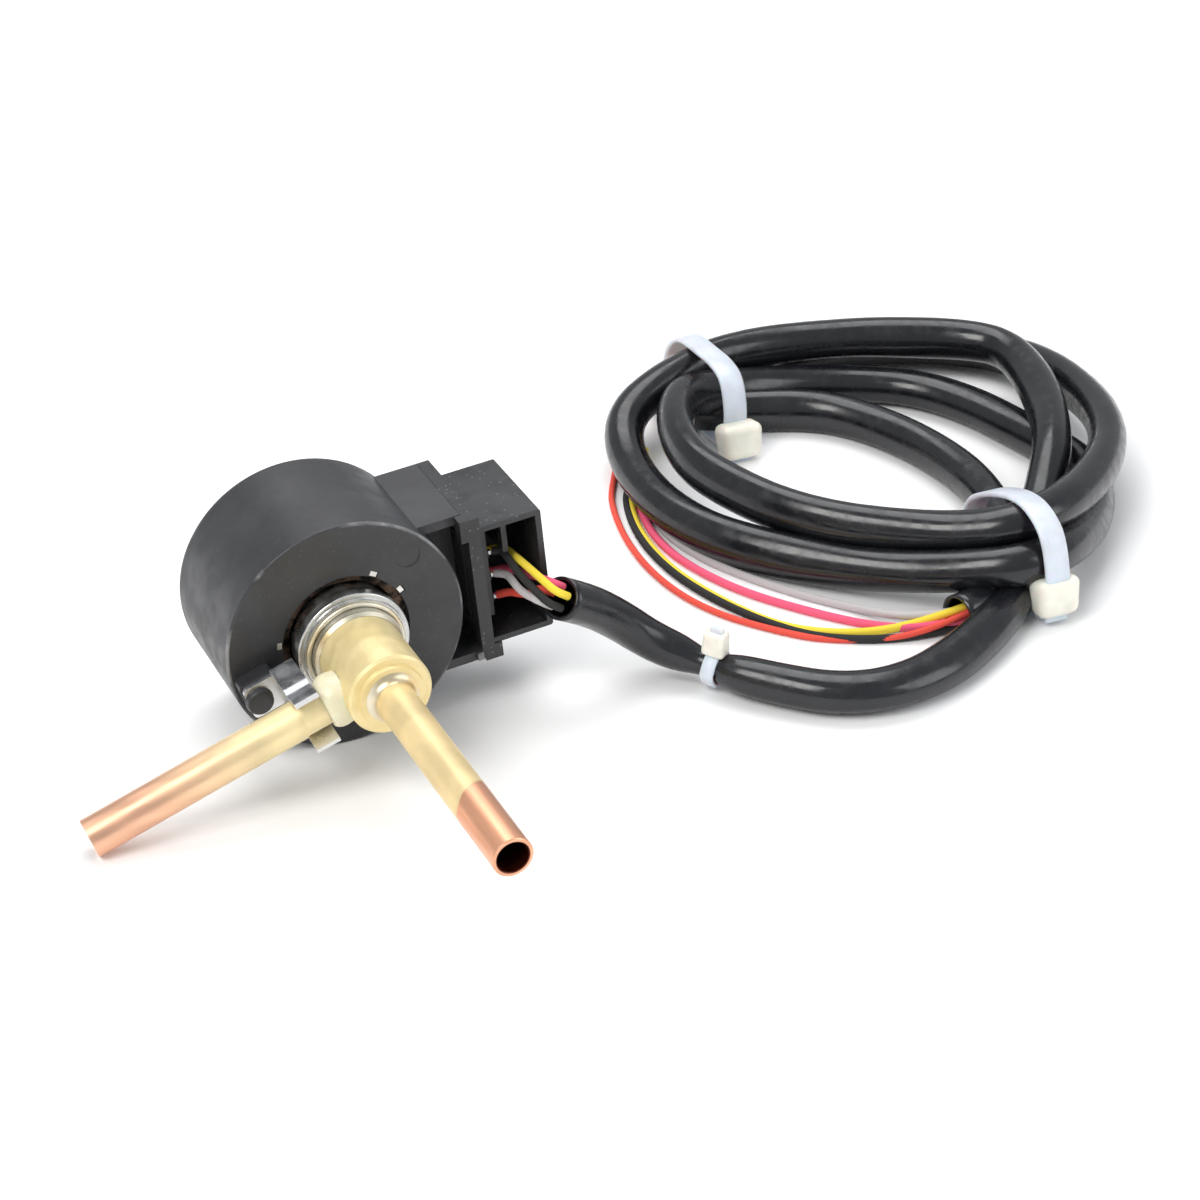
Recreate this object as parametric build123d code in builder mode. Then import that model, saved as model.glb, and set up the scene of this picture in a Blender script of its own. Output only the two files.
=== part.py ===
"""Electronic expansion valve with its stepping-motor coil, connector cover and sleeved lead.

Sizes are in millimetres. The valve lies on its coil and on the tip of its side tube.
X runs towards the connector, Y runs along the valve axis towards the coil's rear face,
and Z runs up from the surface that the valve lies on.
"""
from build123d import *
from math import asin, atan, cos, degrees, hypot, radians, sin, tan
import os

os.makedirs("parts", exist_ok=True)

# Coil moulding
coil_radius = 19.8
coil_length = 24.4
coil_front_wall = 1.3
coil_rear_wall = 1.5
coil_side_wall = 1.8
coil_front_round = 0.35
coil_rear_round = 1.6
coil_edge_round = 0.45
bore_radius = 10.6
can_end_pocket_radius = 9.5
can_end_pocket_depth = 1.2
ejector_mark_radius = 2.1
ejector_mark_depth = 0.12
ejector_mark_place = (10.6, 12.0)

# Steel yokes inside the moulding
yoke_sheet = 0.8
tooth_inner_radius = 9.1
tooth_count = 12
tooth_root_width = 2.8
tooth_tip_width = 1.3
tooth_end_gap = 1.8
yoke_slot_depth = 4.0
tab_angles = (33.6, 63.9, 176.0)
tab_width = 1.4
tab_height = 0.9
tab_stand = 1.1
tab_slot_clearance = 0.2

# Bobbins and windings
bobbin_clearance = 0.1
bobbin_core_wall = 0.8
bobbin_flange = 0.6
winding_margin = 0.95
winding_clearance = 0.05

# Copper tubes and how they lie
tube_radius = 3.175
tube_wall = 0.7
tube_neck_step = 0.2
tube_end_chamfer = 0.12
outlet_reach = 65.8
side_reach = 50.0
side_station = 12.8
coil_twist = 14.0

# Brass body
body_radius = 6.8
body_front = 19.0
body_rear = 0.6
body_chamfer = 0.4
body_nose_radius = 5.35
body_nose_length = 0.7
chamber_radius = 3.3
chamber_end = 15.2
seat_radius = 1.25
seat_flare = 0.5
socket_floor = 16.8
nut_socket_radius = 4.4
nut_socket_depth = 6.6
braze_gap = 0.05
outlet_braze_radius = 4.3
outlet_braze_waist = 3.65
outlet_braze_length = 1.2
side_braze_radius = 4.1
side_braze_length = 2.6
side_braze_root = 1.3
side_braze_round = 0.7
side_socket_reach = 4.7

# Base ring and can
base_radius = 9.3
base_face = 3.4
base_thickness = 2.0
base_step_radius = 8.6
base_step = 0.7
base_lip_radius = 7.45
base_lip = 2.2
base_spigot = 2.0
base_round = 0.3
can_radius = 8.8
can_wall = 0.4
can_end_gap = 2.3
can_round = 1.8

# Guide nut, screw, holder and needle
nut_wall_clearance = 0.05
nut_flange_radius = 6.0
nut_flange = 1.0
nut_boss_radius = 3.4
nut_boss_end = 7.0
thread_radius = 2.0
running_clearance = 0.05
guide_end = 3.4
holder_radius = 2.5
holder_wall = 0.7
holder_front = 9.0
holder_rear = 0.5
holder_floor = 0.8
holder_chamfer = 0.3
needle_stem_radius = 1.2
needle_head_radius = 1.6
needle_head = 1.0
needle_shoulder = 15.3
needle_tip = 17.0
needle_tip_radius = 0.5
screw_stub = 2.0
spring_radius = 1.2
spring_wire = 0.35
spring_coils = 4
washer_thickness = 0.3
washer_bore = 0.5

# Rotor
magnet_radius = 7.8
magnet_wall = 1.8
magnet_start = 3.0
magnet_end_gap = 4.6
magnet_chamfer = 0.2
hub_web_offset = 7.0
hub_web = 2.6
hub_boss_front = 1.8
hub_boss_rear = 4.2
hub_boss_radius = 3.6
screw_stand = 0.8
screw_chamfer = 0.3
stop_width = 1.6
stop_length = 1.1
stop_radius = 5.4

# Neck that carries the connector
neck_half = 13.0
neck_reach = 2.5
neck_root = 5.8
neck_rear_gap = 2.4
neck_top_front = 3.5
neck_bottom_front = 1.0
neck_plate = 1.6
neck_block_front = 9.0

# Terminal header
header_tongue_half = 7.5
header_tongue_lead = 1.0
header_tongue_tail = 4.5
header_half = 8.0
header_front = 4.5
header_block = 4.1
header_clearance = 0.15
pin_size = 0.64
pin_root = 3.6
pin_stand = 1.2
solder_gap = 0.2
pin_boss_radius = 1.1
pin_boss = 0.6
front_pins = (2.7, -1.5, -5.7)
front_pin_offset = 1.9
rear_pins = (0.6, -3.6)
rear_pin_offset = 5.9

# Connector cover
cover_half = 11.0
cover_depth = 10.5
cover_wall = 1.0
cover_front = 1.2
cover_rear_gap = 4.8
cover_round = 0.5
flange_thickness = 2.2
flange_top = 13.0
flange_bottom = 12.0
flange_front = 1.0
flange_rear_gap = 2.4
seam_gap = 0.05
rib_offset = 2.2
rib_thickness = 0.9
rib_height = 6.0
rib_front = 3.0
# Lugs: start and end past the neck's seam, then lower and upper edge across it
top_lug = (-1.1, 1.8, 9.1, 13.0)
top_lug_depth = 2.3
hook_lug = (0.5, 3.5, -13.7, -11.0)
hook_lug_depth = 2.8
small_lug = (-1.1, -0.1, -12.7, -11.4)
small_lug_depth = 0.8

# Clip and the boss that carries it
boss_edge_gap = 0.8
boss_length = 6.0
boss_corner = 0.6
boss_half = 3.3
boss_height = 2.6
clip_sheet = 0.8
clip_base_gap = 0.3
clip_edge_gap = 0.2
clip_corner = 0.8
finger_length = 4.0
finger_half = 3.35
finger_bend = 0.9
finger_crease = 11.3
finger_crease_half = 3.05
finger_lip = 16.0
finger_lip_half = 4.35
finger_crease_round = 1.2
finger_crease_rise = 1.4
stud_edge_gap = 2.0
stud_shank_radius = 1.2
stud_head_radius = 2.3
stud_head = 1.1
stud_head_taper = 12

# Lead
sleeve_radius = 3.4
wire_radius = 0.65
wire_pitch_radius = 1.9
wire_straight = 3.0
coil_height = 15.0
coil_round = 5.0
tie_width = 4.8
tie_strap = 1.3
tie_clearance = 0.1

# How the valve lies: the side tube dips until the edge of its tip reaches the surface
side_dip = degrees(asin(coil_radius / hypot(side_reach, tube_radius)) - atan(tube_radius / side_reach))
connector_lift = side_dip - coil_twist
dip_cos = cos(radians(side_dip))
dip_sin = sin(radians(side_dip))
lift_cos = cos(radians(connector_lift))
lift_sin = sin(radians(connector_lift))

# Places that follow from the coil's radius and the neck
neck_seam = coil_radius + neck_reach
neck_inner = coil_radius - neck_root
header_end = neck_seam + header_block
pin_start = header_end - pin_root
pin_end = header_end + pin_stand
flange_end = neck_seam + flange_thickness
cover_end = flange_end + cover_depth
rib_start = header_end + rib_offset
boss_end = coil_radius - boss_edge_gap
boss_start = boss_end - boss_length
clip_start = base_radius + clip_base_gap
clip_end = boss_end - clip_edge_gap
finger_end = clip_start + finger_length
stud_reach = boss_end - stud_edge_gap

# The origin lies under the middle of the valve and its coil
left_extent = side_reach * dip_cos + tube_radius * dip_sin
right_extent = cover_end * lift_cos + cover_half * lift_sin
axis_x = (left_extent - right_extent) / 2
axis_z = coil_radius
front_y = (outlet_reach - coil_length) / 2

# Sizes that follow from the ones above
stack_start = coil_front_wall
stack_end = coil_length - coil_rear_wall - can_end_pocket_depth
stack_middle = (stack_start + stack_end) / 2
yoke_radius = coil_radius - coil_side_wall
tooth_length = stack_middle - stack_start - tooth_end_gap
neck_rear = coil_length - neck_rear_gap
cover_rear = coil_length - cover_rear_gap
flange_rear = coil_length - flange_rear_gap
header_tongue_front = stack_middle - header_tongue_lead
header_rear = stack_middle + header_tongue_tail
front_pin_station = header_front + front_pin_offset
rear_pin_station = header_front + rear_pin_offset
can_end = coil_length - coil_rear_wall - can_end_gap
magnet_end = can_end - magnet_end_gap
hub_web_start = magnet_start + hub_web_offset
hub_start = hub_web_start - hub_boss_front
hub_end = hub_web_start + hub_boss_rear
screw_end = hub_end + screw_stand
tooth_outer_radius = tooth_inner_radius + yoke_sheet
shell_inner_radius = yoke_radius - yoke_sheet
tube_bore = tube_radius - tube_wall
neck_radius = tube_radius - tube_neck_step
socket_radius = neck_radius + braze_gap
nut_radius = nut_socket_radius - nut_wall_clearance
holder_bore = holder_radius - holder_wall
screw_stub_front = holder_rear + screw_stub
spring_end = screw_stub_front + washer_thickness + running_clearance
needle_head_rear = holder_front - holder_floor - running_clearance - needle_head


def axial_plane():
    """Plane through the valve axis: local x is the place along it, local y the radius."""
    return Plane(origin=(axis_x, front_y, axis_z), x_dir=(0, 1, 0), z_dir=(1, 0, 0))


def disc_plane(place):
    """Plane across the valve axis at a place along it, seen from the front."""
    return Plane(origin=(axis_x, front_y + place, axis_z), x_dir=(1, 0, 0), z_dir=(0, -1, 0))


def connector_plane(place):
    """Plane across the axis, turned so that local x points along the connector's neck."""
    origin = (axis_x, front_y + place, axis_z)
    return Plane(origin=origin, x_dir=(lift_cos, 0, lift_sin), z_dir=(0, -1, 0))


def clip_plane(place):
    """Plane across the axis, turned so that local x points along the side tube."""
    origin = (axis_x, front_y + place, axis_z)
    return Plane(origin=origin, x_dir=(-dip_cos, 0, -dip_sin), z_dir=(0, 1, 0))


def side_plane(reach):
    """Plane across the side tube at a distance from the valve axis."""
    origin = (axis_x - reach * dip_cos, front_y - side_station, axis_z - reach * dip_sin)
    return Plane(origin=origin, x_dir=(0, 1, 0), z_dir=(-dip_cos, 0, -dip_sin))


def connector_point(reach, across, place):
    """Point given along the neck, across it and along the valve axis."""
    x = axis_x + reach * lift_cos - across * lift_sin
    z = axis_z + reach * lift_sin + across * lift_cos
    return (x, front_y + place, z)


def save(piece, label):
    """Names a finished piece and writes it."""
    piece.label = label
    export_step(piece, f"parts/{label}.step")


def rounded_path_radii(points):
    """Radius of the arc at each inner point of a route: as large as its two runs allow."""
    radii = []
    for before, here, after in zip(points, points[1:], points[2:]):
        first = Vector(*here) - Vector(*before)
        second = Vector(*after) - Vector(*here)
        half_turn = radians(first.get_angle(second)) / 2
        radii.append(0.45 * min(first.length, second.length) / tan(half_turn))
    return radii


valve_axis = Axis((axis_x, front_y, axis_z), (0, 1, 0))

# Coil moulding: a closed drum with the neck, the clip boss and the stator space inside
with BuildPart() as coil_moulding:
    with BuildSketch(axial_plane()):
        with BuildLine():
            Polyline((0, 0), (coil_length, 0), (coil_length, coil_radius), (0, coil_radius), close=True)
        make_face()
    revolve(axis=valve_axis)
    rims = coil_moulding.edges().filter_by(GeomType.CIRCLE).sort_by(Axis.Y)
    fillet(rims[-1], radius=coil_rear_round)
    fillet(rims[0], radius=coil_front_round)
    neck_length = neck_seam - neck_inner
    neck_centre = (neck_seam + neck_inner) / 2
    with BuildSketch(connector_plane(neck_rear)):
        with Locations((neck_centre, 0)):
            Rectangle(neck_length, 2 * neck_half)
    extrude(amount=neck_rear - neck_block_front)
    plate_centre = neck_half - neck_plate / 2
    for side, plate_front in ((1, neck_top_front), (-1, neck_bottom_front)):
        with BuildSketch(connector_plane(neck_rear)):
            with Locations((neck_centre, side * plate_centre)):
                Rectangle(neck_length, neck_plate)
        extrude(amount=neck_rear - plate_front)
    with BuildSketch(connector_plane(neck_bottom_front)):
        with Locations((neck_seam + (small_lug[0] + small_lug[1]) / 2, (small_lug[2] + small_lug[3]) / 2)):
            Rectangle(small_lug[1] - small_lug[0], small_lug[3] - small_lug[2])
    extrude(amount=small_lug_depth)
    with BuildSketch(clip_plane(0)):
        with Locations(((boss_start + boss_end) / 2, 0)):
            RectangleRounded(boss_end - boss_start, 2 * boss_half, boss_corner)
    extrude(amount=-boss_height)
    with BuildSketch(clip_plane(-boss_height)):
        with Locations((stud_reach, 0)):
            Circle(stud_shank_radius)
    extrude(amount=-clip_sheet)
    with BuildSketch(clip_plane(-boss_height - clip_sheet)):
        with Locations((stud_reach, 0)):
            Circle(stud_head_radius)
    extrude(amount=-stud_head, taper=stud_head_taper)
    fillet(coil_moulding.edges().group_by(Axis.Y)[0], radius=coil_edge_round)
    with BuildSketch(axial_plane()):
        with BuildLine():
            Polyline(
                (-boss_height, 0),
                (-boss_height, bore_radius),
                (stack_start, bore_radius),
                (stack_start, yoke_radius),
                (stack_end, yoke_radius),
                (stack_end, can_end_pocket_radius),
                (stack_end + can_end_pocket_depth, can_end_pocket_radius),
                (stack_end + can_end_pocket_depth, 0),
                close=True,
            )
        make_face()
    revolve(axis=valve_axis, mode=Mode.SUBTRACT)
    with BuildSketch(connector_plane(header_tongue_front - header_clearance)):
        with Locations((neck_centre, 0)):
            Rectangle(neck_length + 8 * header_clearance, 2 * (header_tongue_half + header_clearance))
    extrude(amount=-(header_rear - header_tongue_front + 2 * header_clearance), mode=Mode.SUBTRACT)
    with BuildSketch(disc_plane(0)):
        with Locations(ejector_mark_place):
            Circle(ejector_mark_radius)
    extrude(amount=-ejector_mark_depth, mode=Mode.SUBTRACT)
    for angle in tab_angles:
        with BuildSketch(disc_plane(0)):
            with Locations(Location((0, 0), angle)):
                with Locations((bore_radius + tab_height / 2, 0)):
                    Rectangle(tab_height + 2 * tab_slot_clearance, tab_width)
        extrude(amount=-coil_front_wall, mode=Mode.SUBTRACT)
save(coil_moulding.part, "coil_moulding")


def claw_teeth(root, direction, turn):
    """Ring of tapered teeth bent out of a yoke's inner edge."""
    start_radius = tooth_inner_radius - yoke_sheet
    with BuildPart() as teeth:
        for index in range(tooth_count):
            angle = radians(turn + index * 360 / tooth_count)
            outward = Vector(cos(angle), 0, sin(angle))
            origin = Vector(axis_x, front_y + root, axis_z) + outward * start_radius
            with BuildSketch(Plane(origin=origin, x_dir=(-sin(angle), 0, cos(angle)), z_dir=outward)):
                with BuildLine():
                    Polyline(
                        (-tooth_root_width / 2, 0),
                        (tooth_root_width / 2, 0),
                        (tooth_tip_width / 2, -direction * tooth_length),
                        (-tooth_tip_width / 2, -direction * tooth_length),
                        close=True,
                    )
                make_face()
            extrude(amount=3 * yoke_sheet)
        with BuildSketch(disc_plane(root)):
            Circle(tooth_outer_radius)
            Circle(tooth_inner_radius, mode=Mode.SUBTRACT)
        extrude(amount=-direction * tooth_length, mode=Mode.INTERSECT)
    return teeth.part


# Outer yokes: cups with a shell and twelve claw teeth, and a slot for the terminal header
yoke_step = 180 / tooth_count
for label, plate_start, direction, shell_end in (
    ("front_yoke", stack_start, 1, stack_middle),
    ("rear_yoke", stack_end, -1, stack_middle),
):
    plate_end = plate_start + direction * yoke_sheet
    turn = 0 if direction > 0 else yoke_step
    teeth = claw_teeth(plate_start, direction, turn)
    with BuildPart() as outer_yoke:
        add(teeth)
        with BuildSketch(disc_plane(plate_start)):
            Circle(yoke_radius)
            Circle(tooth_inner_radius + 0.1, mode=Mode.SUBTRACT)
        extrude(amount=-direction * yoke_sheet)
        with BuildSketch(disc_plane(plate_start)):
            Circle(yoke_radius)
            Circle(shell_inner_radius, mode=Mode.SUBTRACT)
        extrude(amount=-(shell_end - plate_start))
        slot_far = header_tongue_front if direction > 0 else header_rear
        slot_edge = slot_far - direction * header_clearance
        with BuildSketch(connector_plane(slot_edge)):
            with Locations((yoke_radius - yoke_slot_depth / 2, 0)):
                Rectangle(yoke_slot_depth + 2, 2 * (header_tongue_half + header_clearance))
        extrude(amount=-(shell_end + direction - slot_edge), mode=Mode.SUBTRACT)
        if direction > 0:
            for angle in tab_angles:
                with BuildSketch(disc_plane(stack_start)):
                    with Locations(Location((0, 0), angle)):
                        with Locations((bore_radius + tab_height / 2, 0)):
                            Rectangle(tab_height, tab_width - tab_slot_clearance)
                extrude(amount=tab_stand)
    save(outer_yoke.part, label)

# Inner yokes: flat rings back to back, with teeth that stand between the outer ones
for label, direction in (("front_inner_yoke", -1), ("rear_inner_yoke", 1)):
    turn = yoke_step if direction < 0 else 0
    teeth = claw_teeth(stack_middle, direction, turn)
    with BuildPart() as inner_yoke:
        add(teeth)
        with BuildSketch(disc_plane(stack_middle)):
            Circle(shell_inner_radius - bobbin_clearance)
            Circle(tooth_inner_radius + 0.1, mode=Mode.SUBTRACT)
        extrude(amount=-direction * yoke_sheet)
    save(inner_yoke.part, label)

# Bobbins with their windings, one in each yoke cup
bobbin_inner_radius = tooth_outer_radius + bobbin_clearance
bobbin_core_radius = bobbin_inner_radius + bobbin_core_wall
bobbin_outer_radius = shell_inner_radius - 2 * bobbin_clearance
bobbin_length = stack_middle - stack_start - 2 * yoke_sheet - 2 * bobbin_clearance
for label, bobbin_start in (
    ("front", stack_start + yoke_sheet + bobbin_clearance),
    ("rear", stack_middle + yoke_sheet + bobbin_clearance),
):
    bobbin_end = bobbin_start + bobbin_length
    with BuildPart() as bobbin:
        with BuildSketch(axial_plane()):
            with BuildLine():
                Polyline(
                    (bobbin_start, bobbin_inner_radius),
                    (bobbin_start, bobbin_outer_radius),
                    (bobbin_start + bobbin_flange, bobbin_outer_radius),
                    (bobbin_start + bobbin_flange, bobbin_core_radius),
                    (bobbin_end - bobbin_flange, bobbin_core_radius),
                    (bobbin_end - bobbin_flange, bobbin_outer_radius),
                    (bobbin_end, bobbin_outer_radius),
                    (bobbin_end, bobbin_inner_radius),
                    close=True,
                )
            make_face()
        revolve(axis=valve_axis)
    save(bobbin.part, f"{label}_bobbin")
    wound_start = bobbin_start + bobbin_flange + winding_clearance
    wound_end = bobbin_end - bobbin_flange - winding_clearance
    wound_inner = bobbin_core_radius + winding_clearance
    winding_depth = bobbin_outer_radius - winding_margin - wound_inner
    with BuildPart() as winding:
        with BuildSketch(axial_plane()):
            with Locations(((wound_start + wound_end) / 2, wound_inner + winding_depth / 2)):
                Rectangle(wound_end - wound_start, winding_depth)
        revolve(axis=valve_axis)
    save(winding.part, f"{label}_winding")

# Terminal header: a tongue that reaches the bobbins and a block that carries the pins
pin_places = [(across, front_pin_station) for across in front_pins]
pin_places += [(across, rear_pin_station) for across in rear_pins]
with BuildPart() as terminal_header:
    tongue_start = shell_inner_radius - 2 * yoke_sheet
    with BuildSketch(connector_plane(header_tongue_front)):
        with Locations(((tongue_start + neck_seam) / 2, 0)):
            Rectangle(neck_seam - tongue_start, 2 * header_tongue_half)
    extrude(amount=-(header_rear - header_tongue_front))
    with BuildSketch(connector_plane(header_front)):
        with Locations(((neck_seam + header_end) / 2, 0)):
            Rectangle(header_end - neck_seam, 2 * header_half)
    extrude(amount=-(header_rear - header_front))
    for across, place in pin_places:
        with BuildSketch(Plane(origin=connector_point(header_end, across, place), z_dir=(lift_cos, 0, lift_sin))):
            Circle(pin_boss_radius)
        extrude(amount=pin_boss, taper=15)
    with BuildSketch(disc_plane(header_tongue_front)):
        Circle(shell_inner_radius)
    extrude(amount=-(header_rear - header_tongue_front), mode=Mode.SUBTRACT)
    for across, place in pin_places:
        with BuildSketch(connector_plane(place - pin_size / 2)):
            with Locations(((pin_start + pin_end) / 2, across)):
                Rectangle(pin_end - pin_start, pin_size)
        extrude(amount=-pin_size, mode=Mode.SUBTRACT)
save(terminal_header.part, "terminal_header")

with BuildPart() as terminal_pins:
    for across, place in pin_places:
        with BuildSketch(connector_plane(place - pin_size / 2)):
            with Locations(((pin_start + pin_end) / 2, across)):
                Rectangle(pin_end - pin_start, pin_size)
        extrude(amount=-pin_size)
save(terminal_pins.part, "terminal_pins")

# Connector cover: a flange against the neck and a box that is open at the front
with BuildPart() as lead_cover:
    box_start = flange_end - cover_wall
    with BuildSketch(connector_plane(cover_rear)):
        with Locations(((box_start + cover_end) / 2, 0)):
            Rectangle(cover_end - box_start, 2 * cover_half)
    extrude(amount=cover_rear - cover_front)
    fillet(lead_cover.edges().filter_by(Axis.Y).sort_by(Axis.X)[-2:], radius=cover_round)
    flange_start = neck_seam + seam_gap
    with BuildSketch(connector_plane(flange_rear)):
        with Locations(((flange_start + flange_end) / 2, (flange_top - flange_bottom) / 2)):
            Rectangle(flange_end - flange_start, flange_top + flange_bottom)
    extrude(amount=flange_rear - flange_front)
    for lug, depth in ((top_lug, top_lug_depth), (hook_lug, hook_lug_depth)):
        with BuildSketch(connector_plane(flange_front)):
            with Locations((neck_seam + (lug[0] + lug[1]) / 2, (lug[2] + lug[3]) / 2)):
                Rectangle(lug[1] - lug[0], lug[3] - lug[2])
        extrude(amount=-depth)
    with BuildSketch(connector_plane(cover_rear - cover_wall)):
        with Locations(((flange_end + cover_end - cover_wall) / 2, 0)):
            Rectangle(cover_end - cover_wall - flange_end, 2 * (cover_half - cover_wall))
    extrude(amount=cover_rear, mode=Mode.SUBTRACT)
    with BuildSketch(connector_plane(header_rear + header_clearance)):
        with Locations(((flange_start + flange_end) / 2, 0)):
            Rectangle(flange_end - flange_start, 2 * (header_half + header_clearance))
    extrude(amount=header_rear - header_front + 2 * header_clearance, mode=Mode.SUBTRACT)
    with BuildSketch(connector_plane(cover_rear - cover_wall / 2)):
        with Locations((rib_start + rib_thickness / 2, cover_half - (cover_wall + rib_height) / 2)):
            Rectangle(rib_thickness, cover_wall + rib_height)
    extrude(amount=cover_rear - cover_wall / 2 - rib_front)
save(lead_cover.part, "lead_cover")

# Clip: one strip of spring steel, a plate on the boss and two fingers over the side tube
with BuildPart() as mounting_clip:
    sheet_middle = clip_sheet / 2
    plate_place = side_station - boss_height - sheet_middle
    finger_rounds = [finger_crease_round, finger_crease_round]
    with BuildSketch(side_plane(clip_start)):
        with BuildLine():
            FilletPolyline(
                (side_station - finger_lip, finger_lip_half + sheet_middle),
                (side_station - finger_crease, finger_crease_half + sheet_middle),
                (side_station - finger_crease + finger_crease_rise, finger_half + sheet_middle),
                (plate_place, finger_half + sheet_middle),
                (plate_place, -finger_half - sheet_middle),
                (side_station - finger_crease + finger_crease_rise, -finger_half - sheet_middle),
                (side_station - finger_crease, -finger_crease_half - sheet_middle),
                (side_station - finger_lip, -finger_lip_half - sheet_middle),
                radius=[*finger_rounds, finger_bend, finger_bend, *finger_rounds],
            )
        trace(line_width=clip_sheet)
    extrude(amount=finger_end - clip_start)
    with BuildSketch(clip_plane(-boss_height)):
        with Locations(((clip_start + clip_end) / 2, 0)):
            RectangleRounded(clip_end - clip_start, 2 * (finger_half - finger_bend / 2), clip_corner)
    extrude(amount=-clip_sheet)
    with BuildSketch(clip_plane(-boss_height)):
        with Locations((stud_reach, 0)):
            Circle(stud_shank_radius)
    extrude(amount=-clip_sheet, mode=Mode.SUBTRACT)
save(mounting_clip.part, "mounting_clip")

# Can: a drawn stainless cup that seals the rotor in
with BuildPart() as rotor_can:
    can_start = base_thickness - base_face
    with BuildSketch(axial_plane()):
        with BuildLine():
            Polyline((can_start, 0), (can_end, 0), (can_end, can_radius), (can_start, can_radius), close=True)
        make_face()
    revolve(axis=valve_axis)
    fillet(rotor_can.edges().filter_by(GeomType.CIRCLE).sort_by(Axis.Y)[-1], radius=can_round)
    offset(amount=-can_wall, openings=rotor_can.faces().sort_by(Axis.Y)[0])
save(rotor_can.part, "rotor_can")

# Base ring: steps down from the can to the brass body
with BuildPart() as base_ring:
    base_bore = body_radius + braze_gap
    step_face = -base_face - base_step
    lip_face = -base_face - base_lip
    with BuildSketch(axial_plane()):
        with BuildLine():
            Polyline(
                (-base_face + base_thickness + base_spigot, base_bore),
                (-base_face + base_thickness + base_spigot, can_radius - can_wall - braze_gap),
                (-base_face + base_thickness, can_radius - can_wall - braze_gap),
                (-base_face + base_thickness, base_radius),
                (-base_face, base_radius),
                (-base_face, base_step_radius),
                (step_face, base_step_radius - 0.15),
                (step_face, base_lip_radius),
                (lip_face, base_lip_radius),
                (lip_face, base_bore),
                close=True,
            )
        make_face()
    revolve(axis=valve_axis)
    circles = base_ring.edges().filter_by(GeomType.CIRCLE)
    fillet(circles.filter_by(lambda edge: abs(edge.radius - base_radius) < 0.01), radius=base_round)
save(base_ring.part, "base_ring")

# Rings of braze: round the lip, at the brass body and at the two tube joints
with BuildPart() as can_braze:
    with BuildSketch(axial_plane()):
        with BuildLine():
            ring_start = base_lip_radius + braze_gap
            ring_end = base_step_radius - 0.4
            Line((step_face - braze_gap, ring_start), (step_face - braze_gap, ring_end))
            ThreePointArc(
                (step_face - braze_gap, ring_end),
                (step_face - 0.45, (ring_start + ring_end) / 2),
                (step_face - 0.3, ring_start),
            )
            Line((step_face - 0.3, ring_start), (step_face - braze_gap, ring_start))
        make_face()
    revolve(axis=valve_axis)
save(can_braze.part, "can_braze")

with BuildPart() as body_braze:
    with BuildSketch(axial_plane()):
        with BuildLine():
            Polyline(
                (lip_face - braze_gap, base_bore),
                (lip_face - braze_gap, base_lip_radius - 0.1),
                (lip_face - 0.6, base_bore),
                close=True,
            )
        make_face()
    revolve(axis=valve_axis)
save(body_braze.part, "body_braze")

with BuildPart() as outlet_braze:
    nose_face = -body_front - body_nose_length
    with BuildSketch(axial_plane()):
        with BuildLine():
            braze_front = nose_face - outlet_braze_length
            braze_waist = (nose_face - outlet_braze_length / 3, outlet_braze_waist)
            Line((nose_face - braze_gap, socket_radius), (nose_face - braze_gap, outlet_braze_radius))
            ThreePointArc((nose_face - braze_gap, outlet_braze_radius), braze_waist, (braze_front, tube_radius))
            Line((braze_front, tube_radius), (braze_front, socket_radius))
            Line((braze_front, socket_radius), (nose_face - braze_gap, socket_radius))
        make_face()
    revolve(axis=valve_axis)
save(outlet_braze.part, "outlet_braze")

with BuildPart() as side_braze:
    with BuildSketch(side_plane(body_radius - side_braze_root)):
        Circle(side_braze_radius)
    extrude(amount=side_braze_length)
    fillet(side_braze.edges().sort_by(Axis.X)[0], radius=side_braze_round)
    with BuildSketch(side_plane(side_socket_reach)):
        Circle(socket_radius)
    extrude(amount=body_radius, mode=Mode.SUBTRACT)
    with BuildSketch(disc_plane(body_rear)):
        Circle(body_radius + braze_gap)
    extrude(amount=body_front + body_rear, mode=Mode.SUBTRACT)
save(side_braze.part, "side_braze")

# Brass body: turned, bored for the guide nut and the needle, and cross bored for the side tube
with BuildPart() as valve_body:
    with BuildSketch(axial_plane()):
        with BuildLine():
            Polyline(
                (body_rear, 0),
                (body_rear, body_radius),
                (body_chamfer - body_front, body_radius),
                (-body_front, body_radius - body_chamfer),
                (-body_front, body_nose_radius),
                (nose_face, body_nose_radius - 0.2),
                (nose_face, 0),
                close=True,
            )
        make_face()
    revolve(axis=valve_axis)
    with BuildSketch(axial_plane()):
        with BuildLine():
            Polyline(
                (body_rear, 0),
                (body_rear, nut_socket_radius),
                (body_rear - nut_socket_depth, nut_socket_radius),
                (body_rear - nut_socket_depth, chamber_radius),
                (-chamber_end, chamber_radius),
                (-chamber_end, seat_radius + seat_flare),
                (-chamber_end - seat_flare, seat_radius),
                (-socket_floor, seat_radius),
                (-socket_floor, socket_radius),
                (nose_face, socket_radius),
                (nose_face, 0),
                close=True,
            )
        make_face()
    revolve(axis=valve_axis, mode=Mode.SUBTRACT)
    with BuildSketch(side_plane(side_socket_reach)):
        Circle(socket_radius)
    extrude(amount=body_radius, mode=Mode.SUBTRACT)
    with BuildSketch(side_plane(chamber_radius / 2)):
        Circle(tube_bore)
    extrude(amount=body_radius, mode=Mode.SUBTRACT)
save(valve_body.part, "valve_body")

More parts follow.
